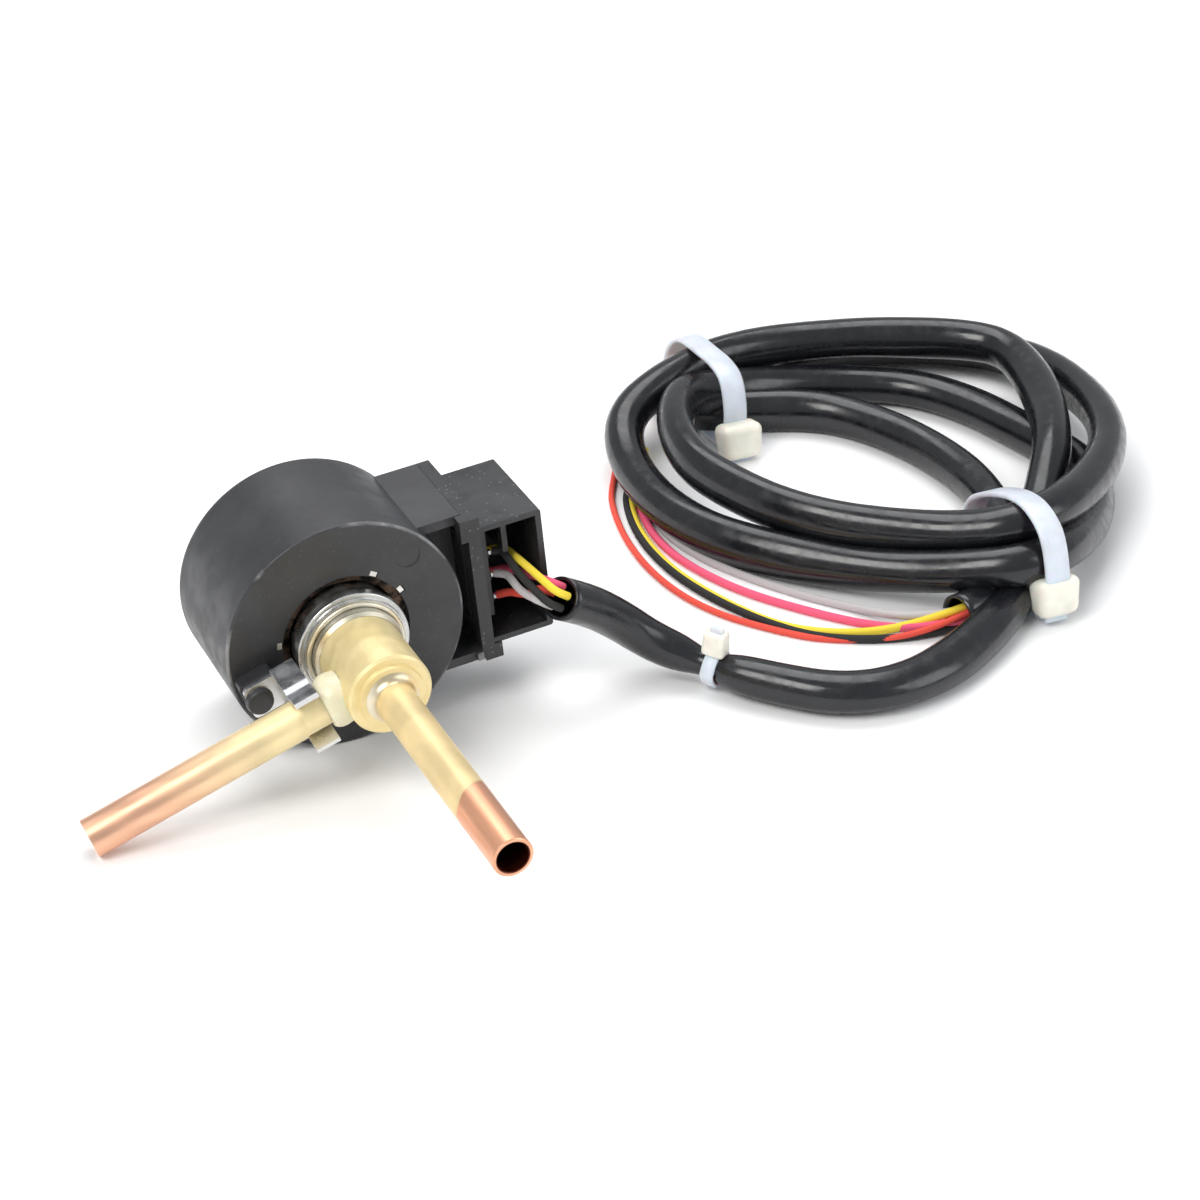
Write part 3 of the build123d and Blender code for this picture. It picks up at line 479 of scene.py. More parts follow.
@dataclass(frozen=True)
class CoatedTube(Finish):
    """Copper tube under a yellow coat that ends at a slanted edge.

    Args:
        origin: A point on the tube's axis, in millimetres.
        axis: The direction from the body to the tube's tip.
        coat: The coat's colour.
        fade: Where the coat starts and stops to fade, in millimetres along the axis.
        slant: How far the coat's edge leans, as millimetres along the tube for each one across it.
        roughness: The middle of its roughness.
        bore: Radius inside which the tube is dark, in millimetres.
        side_y: Where the side tube's axis lies along Y, in millimetres.
        inside: The colour of the dark inside.
        stain: The colour of the specks on the coat.
    """

    origin: Point = (0.0, 0.0, 0.0)
    axis: Point = (0.0, -1.0, 0.0)
    coat: Colour = (0.80, 0.60, 0.27)
    fade: tuple[float, float] = (20.0, 21.0)
    slant: float = 0.0
    roughness: float = 0.34
    bore: float = 2.65
    side_y: float = 7.9
    inside: Colour = (0.10, 0.018, 0.008)
    stain: Colour = (0.30, 0.19, 0.09)

    def spread(self, graph: ShaderGraph) -> bpy.types.NodeSocket:
        """Measures the distance from the tube's axis, in millimetres.

        Args:
            graph: The material's node tree.

        Returns:
            The distance's socket.
        """
        if abs(self.axis[1]) > 0.5:
            return graph.radius(self.origin)
        start = (self.origin[0], self.side_y, self.origin[2])
        across = graph.along(start, (0.0, 1.0, 0.0))
        return graph.apart(across, graph.along(start, (-self.axis[2], 0.0, self.axis[0])))

    def coated(self, graph: ShaderGraph, stretch: Point) -> bpy.types.NodeSocket:
        """The coat's clouded and stained colour.

        Args:
            graph: The material's node tree.
            stretch: Scale of the stains along each axis.

        Returns:
            The colour's socket.
        """
        cloud = graph.range(graph.noise(scale=150.0, detail=4.0), low=0.35, high=0.7)
        clouded = graph.mix(cloud, self.coat, shaded(self.coat, gain=0.84))
        fine = graph.noise(scale=420.0, detail=5.0, rough=0.6, stretch=stretch)
        return graph.mix(graph.range(fine, low=0.66, high=0.78, out_high=0.45), clouded, self.stain)

    def paint(self, graph: ShaderGraph) -> None:
        """Copper with soft bands along it, the coat's edge, and the dark inside."""
        stretch = tuple(1.0 - 0.9 * abs(part) for part in self.axis)
        sideways = graph.sum("MULTIPLY", graph.along(self.origin, (1.0, 0.0, 0.0)), self.slant)
        leaning = graph.sum("ADD", graph.along(self.origin, self.axis), sideways)
        wander = graph.sum("MULTIPLY", graph.noise(scale=260.0, detail=3.0), 1.4)
        bare = graph.range(graph.sum("ADD", leaning, wander), low=self.fade[0], high=self.fade[1])
        band = graph.range(graph.noise(scale=200.0, detail=3.0, rough=0.5, stretch=stretch), low=0.38, high=0.68)
        copper = graph.mix(band, self.colour, shaded(self.colour, gain=0.72))
        outside = graph.range(self.spread(graph), low=self.bore - 0.1, high=self.bore + 0.1)
        skin = graph.mix(bare, self.coated(graph, stretch), copper)
        uneven = graph.noise(scale=500.0, detail=3.0, rough=0.5, stretch=stretch)
        graph.set(Base_Color=graph.mix(outside, self.inside, skin),
                  Metallic=graph.range(bare, low=0.0, high=1.0, out_low=0.35, out_high=0.85),
                  Roughness=graph.range(uneven, low=0.3, high=0.7,
                                        out_low=self.roughness - 0.05, out_high=self.roughness + 0.1))
        graph.bump(graph.noise(scale=700.0, detail=4.0, rough=0.6, stretch=stretch),
                   strength=0.2, distance=0.00005)


class Colours(Enum):
    """The object's plain colours, as linear values."""

    CHARCOAL = (0.024, 0.0245, 0.027)
    COVER_BLACK = (0.016, 0.0165, 0.018)
    SLEEVE_BLACK = (0.0065, 0.007, 0.009)
    STEEL = (0.62, 0.62, 0.60)
    BRIGHT_TIN = (0.78, 0.79, 0.80)
    YELLOW = (0.80, 0.55, 0.04)
    PINK = (0.80, 0.10, 0.17)
    RED = (0.74, 0.11, 0.07)
    GREY = (0.55, 0.56, 0.58)
    BLACK = (0.02, 0.02, 0.022)
    MILK = (0.66, 0.71, 0.78)


WIRE_ROUGHNESS = {Colours.YELLOW: 0.32, Colours.PINK: 0.34, Colours.RED: 0.34, Colours.GREY: 0.34,
                  Colours.BLACK: 0.30}
WIRE_RIPPLE = 0.1
BRAZE_FLUX = Nylon("braze_flux", (0.82, 0.77, 0.56), 0.3)


def wire_slot(colour: Colours) -> str:
    """The material slot of a wire in this colour."""
    return f"wire_{colour.name.lower()}"


def wire_finish(colour: Colours) -> Finish:
    """The vinyl of a wire in this colour."""
    return Vinyl(wire_slot(colour), colour.value, WIRE_ROUGHNESS[colour], WIRE_RIPPLE)


@dataclass
class Route:
    """A cord's centreline, from listed control points.

    Args:
        name: The name of the curve.
        points: Control points in millimetres.
    """

    name: str
    points: list[Point]

    def curve(self, radius: float = 0.0) -> bpy.types.Object:
        """Draws the route as a smooth spline.

        Args:
            radius: The round section's radius in metres, or 0 for a bare line.

        Returns:
            The curve, linked to the scene.
        """
        data = bpy.data.curves.new(self.name, "CURVE")
        data.dimensions = "3D"
        data.resolution_u = CURVE_STEPS
        spline = data.splines.new("NURBS")
        spline.points.add(len(self.points) - 1)
        for knot, point in zip(spline.points, self.points):
            knot.co = (*metres(point), 1.0)
        spline.order_u = 3
        spline.use_endpoint_u = True
        data.bevel_depth = radius
        data.bevel_resolution = ROUND_STEPS
        data.use_fill_caps = radius > 0.0
        piece = bpy.data.objects.new(self.name, data)
        bpy.context.scene.collection.objects.link(piece)
        return piece

    def samples(self) -> list[Vector]:
        """Reads points from the smooth spline.

        Returns:
            The points in order, in metres.
        """
        curve = self.curve()
        mesh = bpy.data.meshes.new_from_object(curve)
        places = [v.co.copy() for v in mesh.vertices]
        data = curve.data
        bpy.data.objects.remove(curve)
        bpy.data.curves.remove(data)
        bpy.data.meshes.remove(mesh)
        return places


def path_length(places: list[Vector]) -> float:
    """The length of a row of points."""
    return sum((b - a).length for a, b in zip(places, places[1:]))


def even_path(places: list[Vector], step: float) -> list[Vector]:
    """Spaces a path's points evenly.

    Args:
        places: The path's points.
        step: The wanted spacing, in metres.

    Returns:
        The new points, with the same first and last.
    """
    total = path_length(places)
    count = max(2, round(total / step))
    result = [places[0].copy()]
    travelled, target = 0.0, total / count
    for a, b in zip(places, places[1:]):
        span = (b - a).length
        while span > 0 and travelled + span >= target - 1e-9 and len(result) < count:
            result.append(a.lerp(b, (target - travelled) / span))
            target += total / count
        travelled += span
    result.append(places[-1].copy())
    return result


def upright_frames(places: list[Vector]) -> list[tuple[Vector, Vector]]:
    """Finds the directions across a path that mostly lies flat.

    Args:
        places: The path's points.

    Returns:
        The side and up direction at each point.
    """
    frames: list[tuple[Vector, Vector]] = []
    for i in range(len(places)):
        ahead = (places[min(i + 1, len(places) - 1)] - places[max(i - 1, 0)]).normalized()
        side = ahead.cross(Vector((0, 0, 1)))
        if side.length < 0.05 and frames:
            side = frames[-1][0].copy()
        side = (side - ahead * side.dot(ahead)).normalized()
        frames.append((side, side.cross(ahead).normalized()))
    return frames


Section = Callable[[float, float], tuple[float, float]]


def sweep(name: str, places: list[Vector], section: Section, sides: int,
          wall: float, depth: float) -> bpy.types.Object:
    """Sweeps an open tube along a path, pressed flat where it would pass below the floor.

    Args:
        name: The piece's name.
        places: The path's points, in metres.
        section: Gives (across, up) in metres for a distance along the path and an angle.
        sides: Corners of the section.
        wall: Thickness of the wall.
        depth: How far each open end can be seen into.

    Returns:
        The swept piece.
    """
    frames = upright_frames(places)
    travel = [0.0]
    for a, b in zip(places, places[1:]):
        travel.append(travel[-1] + (b - a).length)
    corners: list[Vector] = []
    faces: list[tuple[int, ...]] = []

    def ring(i: int, inset: float) -> int:
        """Adds one ring of corners.

        Args:
            i: Which of the path's points it stands at.
            inset: How far it lies inside the section, in metres.

        Returns:
            The number of its first corner.
        """
        start = len(corners)
        side, up = frames[i]
        for k in range(sides):
            across, rise = section(travel[i], 2 * math.pi * k / sides)
            reach = math.hypot(across, rise)
            shrink = (reach - inset) / reach
            corner = places[i] + (side * across + up * rise) * shrink
            corner.z = max(corner.z, inset + FLOOR_CLEARANCE)
            corners.append(corner)
        return start

    def join(first: int, second: int) -> None:
        """Joins two rings, given by their first corners, with quads."""
        for k in range(sides):
            following = (k + 1) % sides
            faces.append((first + k, first + following, second + following, second + k))

    rings = [ring(i, 0.0) for i in range(len(places))]
    for a, b in zip(rings, rings[1:]):
        join(a, b)
    near = [i for i in range(len(places)) if travel[i] <= depth]
    far = [i for i in reversed(range(len(places))) if travel[-1] - travel[i] <= depth]
    for outer, inside, flip in ((rings[0], near, False), (rings[-1], far, True)):
        last = outer
        for i in inside:
            new = ring(i, wall)
            join(last, new) if flip else join(new, last)
            last = new
        cap = tuple(range(last, last + sides))
        faces.append(cap if flip else cap[::-1])
    return mesh_object(name, corners, faces)


def rounded_block(name: str, centre: Vector, axes: tuple[Vector, Vector, Vector],
                  size: Point, bevel: float, taper: float = 1.0) -> bpy.types.Object:
    """A block with rounded edges and a sunk throat in its top, for a tie's head.

    Args:
        name: The piece's name.
        centre: Its middle in metres.
        axes: Its unit width, depth and height directions.
        size: Width, depth and height in millimetres.
        bevel: Radius of its edges in millimetres.
        taper: How much wider its top is than its bottom.

    Returns:
        The new object.
    """
    shape = bmesh.new()
    bmesh.ops.create_cube(shape, size=1.0)
    for corner in shape.verts:
        grow = taper if corner.co.z > 0.0 else 1.0
        corner.co = Vector([part * length * MM * (grow if i < 2 else 1.0)
                            for i, (part, length) in enumerate(zip(corner.co, size))])
    bmesh.ops.bevel(shape, geom=list(shape.edges), offset=bevel * MM, segments=ROUND_STEPS, profile=0.5,
                    affect="EDGES")
    shape.normal_update()
    top = max((f for f in shape.faces if f.normal.z > 0.9), key=lambda f: f.calc_area())
    bmesh.ops.inset_region(shape, faces=[top], thickness=THROAT_INSET * min(size) * MM)
    for corner in top.verts:
        corner.co.z -= THROAT_DEPTH * size[2] * MM
    for corner in shape.verts:
        corner.co = centre + axes[0] * corner.co.x + axes[1] * corner.co.y + axes[2] * corner.co.z
    mesh = bpy.data.meshes.new(name)
    shape.to_mesh(mesh)
    shape.free()
    mesh.shade_smooth()
    piece = bpy.data.objects.new(name, mesh)
    bpy.context.scene.collection.objects.link(piece)
    return piece


STRAP_PROFILE = ((-0.5, -0.2), (-0.42, -0.5), (0.42, -0.5), (0.5, -0.2),
                 (0.5, 0.2), (0.42, 0.5), (-0.42, 0.5), (-0.5, 0.2))


@dataclass
class Tie:
    """One nylon cable tie.

    Args:
        name: The tie's name.
        path: The closed line that the strap's middle follows, in millimetres.
        across: The direction of the strap's width.
        head: The head's middle, in millimetres.
        head_up: The head's height direction.
        head_size: Width, depth and height of the head, in millimetres.
        width: Width of the strap.
        thickness: Thickness of the strap.
        replaces: The solid that the tie stands for, if there is one.
        head_bevel: Radius of the head's edges.
        head_taper: How much narrower the head is at the side where the tail leaves it.
        strap_step: Spacing of the strap's sections.
        tail_width: The cut tail's width as a share of the strap's.
        tail_height: The cut tail's height as a share of the head's.
        tail_lift: How far the tail's middle lies from the head's, as a share of the head's height.
        tail_bevel: Radius of the tail's edges.
    """

    name: str
    path: list[Point]
    across: Point
    head: Point
    head_up: Point
    head_size: Point
    width: float
    thickness: float
    replaces: str = ""
    head_bevel: float = 1.5
    head_taper: float = 0.9
    strap_step: float = 0.9
    tail_width: float = 0.92
    tail_height: float = 0.5
    tail_lift: float = 0.42
    tail_bevel: float = 0.15

    def strap(self) -> bpy.types.Object:
        """Makes the band, with rounded edges, round the bundle.

        Returns:
            The strap.
        """
        route = Route(self.name, [*self.path, self.path[0]])
        places = even_path(route.samples(), self.strap_step * MM)[:-1]
        middle = sum(places, Vector()) / len(places)
        across = Vector(self.across).normalized()
        corners: list[Vector] = []
        for i, place in enumerate(places):
            ahead = (places[(i + 1) % len(places)] - places[i - 1]).normalized()
            out = ahead.cross(across).normalized()
            out = out if out.dot(place - middle) > 0.0 else -out
            for side, rise in STRAP_PROFILE:
                corners.append(place + across * side * self.width * MM + out * rise * self.thickness * MM)
        ring = len(STRAP_PROFILE)
        faces = [(i * ring + k, i * ring + (k + 1) % ring,
                  (i + 1) % len(places) * ring + (k + 1) % ring, (i + 1) % len(places) * ring + k)
                 for i in range(len(places)) for k in range(ring)]
        return mesh_object(f"{self.name}_strap", corners, faces)

    def build(self, strap_finish: Finish, head_finish: Finish) -> list[bpy.types.Object]:
        """Makes the strap, the head and the cut tail, riding on the valve.

        Args:
            strap_finish: The finish of the strap and its tail.
            head_finish: The finish of the head.

        Returns:
            The three pieces.
        """
        up = Vector(self.head_up).normalized()
        wide = Vector(self.across).normalized()
        axes = (wide, up.cross(wide).normalized(), up)
        centre = metres(self.head)
        strap = self.strap()
        head = rounded_block(f"{self.name}_head", centre, axes, self.head_size, self.head_bevel, self.head_taper)
        tail_size = (self.width * self.tail_width, self.thickness, self.head_size[2] * self.tail_height)
        tail = rounded_block(f"{self.name}_tail", centre + up * self.head_size[2] * self.tail_lift * MM,
                             axes, tail_size, self.tail_bevel)
        for piece, finish in ((strap, strap_finish), (head, head_finish), (tail, strap_finish)):
            finish.dress(piece)
            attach(piece, "valve")
        if self.replaces:
            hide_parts(self.replaces)
        return [strap, head, tail]


@dataclass
class Ties:
    """The two ties round the loop and the small one on the sleeve.

    Args:
        strap_finish: The finish of the straps.
        head_finish: The finish of the heads.
        loops: The two wide ties.
        neck_radius: Radius of the pinched sleeve under the small tie, in millimetres.
        strap_reach: The small strap's radius as a share of the sleeve's there.
        strap_points: How many control points the small strap has.
        head_rise: How far the small head's middle lies above the sleeve's.
        head_shift: How far it lies to the side.
    """

    strap_finish: Finish = Nylon("tie_strap_nylon", Colours.MILK.value)
    head_finish: Finish = Nylon("tie_head_nylon", (0.84, 0.82, 0.72))
    loops: list[Tie] = field(default_factory=lambda: [
        Tie("left_tie", [(105.6, 82.3, 8.5), (105.6, 83.2, 14.4), (105.6, 88.5, 16.0), (105.6, 95.0, 15.6),
                         (105.6, 102.8, 15.3), (105.6, 107.6, 11.0), (105.6, 108.8, 5.0), (105.6, 107.0, 0.7),
                         (105.6, 96.0, 0.7), (105.6, 84.6, 0.7), (105.6, 82.2, 2.6)],
            across=(1.0, 0.0, 0.0), head=(105.4, 80.1, 3.9), head_up=(0.0, -0.2, -1.0),
            head_size=(8.4, 5.4, 6.6), width=4.6, thickness=1.0, replaces="left_tie"),
        Tie("right_tie", [(127.1, 4.5, 8.5), (127.1, 6.0, 15.5), (127.1, 12.0, 18.9), (127.1, 18.0, 18.6),
                          (127.1, 26.0, 15.2), (127.1, 32.0, 11.0), (127.1, 32.5, 5.0), (127.1, 30.0, 0.7),
                          (127.1, 18.0, 0.7), (127.1, 6.5, 0.7), (127.1, 4.2, 3.0)],
            across=(1.0, 0.0, 0.0), head=(127.3, 5.4, 5.4), head_up=(0.0, -0.2, -1.0),
            head_size=(8.4, 5.0, 6.8), width=4.6, thickness=1.0, replaces="right_tie"),
    ])
    neck_radius: float = 2.95
    strap_reach: float = 1.12
    strap_points: int = 8
    head_rise: float = 5.0
    head_shift: float = 0.6

    def small(self, places: list[Vector], along: float) -> Tie:
        """Lays out the small tie.

        Args:
            places: The points that the sleeve follows.
            along: The tie's distance from the sleeve's mouth, in metres.

        Returns:
            The tie.
        """
        travelled = 0.0
        index = 0
        while travelled < along:
            travelled += (places[index + 1] - places[index]).length
            index += 1
        here = places[index] / MM
        ahead = (places[index + 1] - places[index - 1]).normalized()
        side = ahead.cross(Vector((0.0, 0.0, 1.0))).normalized()
        up = side.cross(ahead).normalized()
        ring = [tuple(here + side * self.neck_radius * self.strap_reach * math.cos(angle)
                      + up * self.neck_radius * self.strap_reach * math.sin(angle))
                for angle in (2 * math.pi * k / self.strap_points for k in range(self.strap_points))]
        head = tuple(here + up * self.head_rise + side * self.head_shift)
        return Tie("sleeve_tie", ring, across=tuple(ahead), head=head, head_up=tuple(up),
                   head_size=(4.2, 3.4, 4.4), width=2.4, thickness=0.7, head_bevel=0.8)

    def build(self, places: list[Vector], along: float) -> list[bpy.types.Object]:
        """Makes all three ties.

        Args:
            places: The points that the sleeve follows.
            along: The small tie's distance from the sleeve's mouth, in metres.

        Returns:
            Their pieces.
        """
        pieces: list[bpy.types.Object] = []
        for tie in (*self.loops, self.small(places, along)):
            pieces += tie.build(self.strap_finish, self.head_finish)
        return pieces


@dataclass
class Sleeves:
    """The two black sleeves that hold the leads.

    Args:
        diameter: Outer diameter of the round sleeve, in millimetres.
        wall: Wall thickness, in millimetres.
        mouth_depth: How far the open mouths can be seen into.
        sides: Corners of the section.
        step: Spacing of the sections.
        finish: The sleeves' finish.
        long_route: From the cover, past the small tie and round the loop.
        pinch_place: Where the small tie pinches the long sleeve, from its mouth.
        pinch_depth: How much of the radius the pinch takes.
        pinch_spread: How far the pinch reaches to each side.
        short_route: From the back of the loop round its inside to the front.
        lean_reach: The greatest lean of the flattened section, in radians.
        widening: The greatest share by which the section grows wider.
        flattening: The greatest share by which it grows flatter.
        bulge_share: How far the wires inside push the wall out.
        bulge_twist: How fast the bulges turn round the sleeve, in radians a metre.
    """

    diameter: float = 7.4
    wall: float = 0.55
    mouth_depth: float = 12.0
    sides: int = 28
    step: float = 1.3
    finish: Finish = Vinyl("sleeve_vinyl", Colours.SLEEVE_BLACK.value, 0.21, 0.12)
    long_route: list[Point] = field(default_factory=lambda: [
        (40.9, 16.7, 20.2), (46.0, 18.3, 17.0), (52.1, 19.8, 12.0), (58.1, 19.1, 6.6), (63.2, 14.9, 4.4),
        (67.7, 8.8, 3.8), (73.5, 2.2, 3.7), (80.2, -4.2, 3.7), (88.8, -6.8, 3.7), (100.3, -4.7, 3.7),
        (113.1, 2.6, 3.7), (123.8, 11.3, 3.7), (132.3, 20.7, 3.8), (138.6, 29.5, 5.0), (144.3, 36.2, 8.0),
        (150.0, 43.2, 10.8), (157.1, 57.6, 11.2), (161.4, 71.8, 11.2), (161.7, 81.0, 11.2),
        (156.3, 86.8, 11.2), (146.0, 92.5, 11.2), (137.3, 96.5, 11.2), (125.8, 99.4, 11.2),
        (115.6, 100.3, 11.2), (106.7, 99.3, 11.0), (96.3, 95.1, 10.5), (87.7, 90.8, 8.5), (83.7, 84.8, 6.0),
        (81.6, 74.7, 4.6), (81.2, 61.4, 4.6), (84.2, 49.4, 4.6), (90.7, 39.1, 4.6), (99.4, 29.8, 4.8),
        (108.4, 21.5, 6.0), (115.6, 13.9, 8.5), (122.2, 8.9, 10.5), (131.3, 10.9, 10.0), (144.2, 22.0, 6.5),
        (154.2, 34.8, 3.8), (157.5, 43.8, 3.7), (157.0, 51.6, 3.7), (154.9, 62.1, 3.7), (151.8, 75.1, 3.7),
        (145.8, 85.6, 3.7), (137.0, 91.3, 3.8), (125.7, 94.5, 4.5), (114.0, 94.8, 6.0), (104.2, 92.1, 8.5),
        (96.7, 87.5, 11.0), (89.9, 76.8, 12.0), (87.4, 64.2, 11.5), (89.4, 54.2, 11.0), (93.7, 43.5, 10.8),
        (100.5, 34.1, 10.8), (109.3, 27.0, 11.0), (117.3, 20.6, 12.0), (123.7, 15.1, 14.5),
        (133.2, 16.3, 15.0), (146.1, 25.3, 13.0), (156.6, 35.8, 11.5), (163.1, 46.5, 11.0),
        (167.6, 60.6, 9.0), (170.0, 78.3, 6.0), (168.0, 91.5, 3.9), (158.7, 98.6, 3.7), (148.1, 103.5, 3.7),
        (136.4, 106.5, 3.7), (126.4, 106.3, 3.7), (117.7, 104.1, 3.7)])
    pinch_place: float = 32.5
    pinch_depth: float = 0.34
    pinch_spread: float = 4.2
    short_route: list[Point] = field(default_factory=lambda: [
        (103.2, 93.7, 4.2), (107.1, 91.4, 4.0), (114.4, 89.2, 3.7), (121.4, 86.4, 3.7), (127.5, 81.8, 3.7),
        (132.9, 72.2, 3.7), (136.2, 61.2, 3.7), (137.0, 48.2, 3.7), (134.8, 35.8, 3.7), (130.0, 25.0, 3.7),
        (123.6, 15.9, 3.7), (116.5, 10.0, 3.7), (110.5, 8.7, 3.7)])
    lean_reach: float = 1.1
    widening: float = 0.20
    flattening: float = 0.26
    bulge_share: float = 0.035
    bulge_twist: float = 40.0

    def section(self, seed: float, pinched: bool) -> Section:
        """Shapes an oval that flattens, leans and bulges over the wires as it runs.

        Args:
            seed: Sets this sleeve's own unevenness.
            pinched: Whether the small tie sits on it.

        Returns:
            The section.
        """
        radius = self.diameter / 2 * MM

        def wave(along: float, rate: float, row: float) -> float:
            """A smooth uneven value along the sleeve; each row has its own."""
            return noise.noise(Vector((along * rate, seed, row)))

        def outline(along: float, angle: float) -> tuple[float, float]:
            """Places one corner of the section.

            Args:
                along: Distance along the sleeve, in metres.
                angle: Angle round it.

            Returns:
                How far the corner lies across and up, in metres.
            """
            flat = wave(along, 28.0, 0.3)
            lean = self.lean_reach * wave(along, 17.0, 5.1)
            bulge = wave(along, 60.0, 9.4)
            turned = angle - lean
            across = radius * (1.0 + self.widening * flat) * math.cos(turned)
            rise = radius * (1.0 - self.flattening * flat) * math.sin(turned)
            swell = 1.0 + self.bulge_share * bulge * math.cos(3 * angle + along * self.bulge_twist)
            if pinched:
                offset = (along / MM - self.pinch_place) / self.pinch_spread
                swell *= 1.0 - self.pinch_depth * math.exp(-offset * offset)
            return (swell * (across * math.cos(lean) - rise * math.sin(lean)),
                    swell * (across * math.sin(lean) + rise * math.cos(lean)))

        return outline

    def tube(self, name: str, route: list[Point], seed: float) -> tuple[bpy.types.Object, list[Vector]]:
        """Makes one sleeve with open mouths.

        Args:
            name: The piece's name.
            route: Its control points, in millimetres.
            seed: Sets its own unevenness.

        Returns:
            The sleeve and the points it follows.
        """
        places = even_path(Route(name, route).samples(), self.step * MM)
        section = self.section(seed, name == "lead_sleeve")
        piece = sweep(name, places, section, self.sides, self.wall * MM, self.mouth_depth * MM)
        self.finish.dress(piece)
        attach(piece, "valve")
        return piece, places

    def build(self) -> list[bpy.types.Object]:
        """Makes both sleeves and the ties on the long one.

        Returns:
            The sleeves and the ties' pieces.
        """
        lead, places = self.tube("lead_sleeve", self.long_route, 2.7)
        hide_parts("sleeve_lead", "lead_coil")
        ties = Ties().build(places, self.pinch_place * MM)
        back, places = self.tube("return_sleeve", self.short_route, 6.1)
        return [lead, *ties, back]


@dataclass
class TailWire:
    """One insulated wire from the short sleeve's mouth to the back of the loop.

    Args:
        colour: The wire's colour.
        route: Its control points, in millimetres.
        diameter: Its diameter, in millimetres.
    """

    colour: Colours
    route: list[Point]
    diameter: float = 1.45

    def build(self) -> bpy.types.Object:
        """Makes the wire as a spline with a round section.

        Returns:
            The wire.
        """
        route = Route(f"tail_{wire_slot(self.colour)}", self.route)
        piece = route.curve(self.diameter / 2 * MM)
        wire_finish(self.colour).dress(piece)
        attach(piece, "valve")
        path_length(route.samples())
        return piece


@dataclass
class TailWires:
    """The five wires that leave the short sleeve and fan out over the floor."""

    wires: list[TailWire] = field(default_factory=lambda: [
        TailWire(Colours.YELLOW, [
            (118.5, 10.4, 4.9), (112.6, 9.6, 4.6), (108.4, 10.8, 3.2), (103.3, 13.7, 0.8),
            (97.1, 14.6, 0.7), (90.8, 17.2, 0.7), (85.4, 21.4, 0.7), (81.4, 28.0, 0.7),
            (77.7, 38.5, 0.7), (75.6, 48.9, 0.7), (76.1, 61.0, 0.7), (79.3, 72.4, 0.7),
            (84.5, 81.3, 0.7), (90.5, 89.2, 0.7)]),
        TailWire(Colours.PINK, [
            (118.5, 8.8, 3.0), (112.6, 8.2, 3.0), (107.6, 10.2, 1.9), (103.0, 13.2, 0.8),
            (98.2, 16.6, 0.7), (92.4, 22.9, 0.7), (84.4, 33.9, 0.7), (80.2, 43.7, 0.7),
            (78.0, 53.1, 0.7), (78.4, 62.8, 0.7), (81.6, 74.3, 0.7), (86.3, 82.5, 0.7)]),
        TailWire(Colours.GREY, [
            (118.5, 10.8, 3.4), (112.6, 10.4, 3.5), (107.0, 12.4, 2.8), (102.5, 15.9, 1.8),
            (97.9, 23.1, 0.8), (92.1, 30.4, 0.7), (85.8, 40.8, 0.7), (81.7, 50.3, 0.7),
            (80.0, 60.8, 0.7), (81.8, 72.1, 0.7)]),
        TailWire(Colours.BLACK, [
            (118.5, 9.8, 2.0), (112.6, 9.0, 1.9), (106.6, 9.6, 1.1), (100.7, 10.7, 0.8),
            (94.3, 13.1, 0.7), (87.3, 17.7, 0.7), (82.5, 24.9, 0.7), (78.0, 35.0, 0.7),
            (75.3, 46.3, 0.7), (75.2, 59.1, 0.7), (78.2, 71.7, 0.7), (82.6, 79.2, 0.7), (87.4, 85.2, 0.7)]),
        TailWire(Colours.RED, [
            (118.5, 9.0, 5.0), (112.6, 8.0, 4.6), (106.4, 9.2, 2.2), (98.9, 11.0, 0.7),
            (91.4, 14.6, 0.6), (86.3, 18.0, 0.6), (80.1, 25.5, 0.6), (76.8, 30.6, 0.6),
            (74.2, 36.9, 0.6), (72.7, 44.0, 0.6), (72.3, 52.9, 0.6), (73.5, 62.9, 0.6),
            (76.1, 72.9, 0.6), (78.7, 78.7, 0.6), (84.3, 87.9, 0.6)], 1.15),
    ])

    def build(self) -> list[bpy.types.Object]:
        """All five wires."""
        return [wire.build() for wire in self.wires]


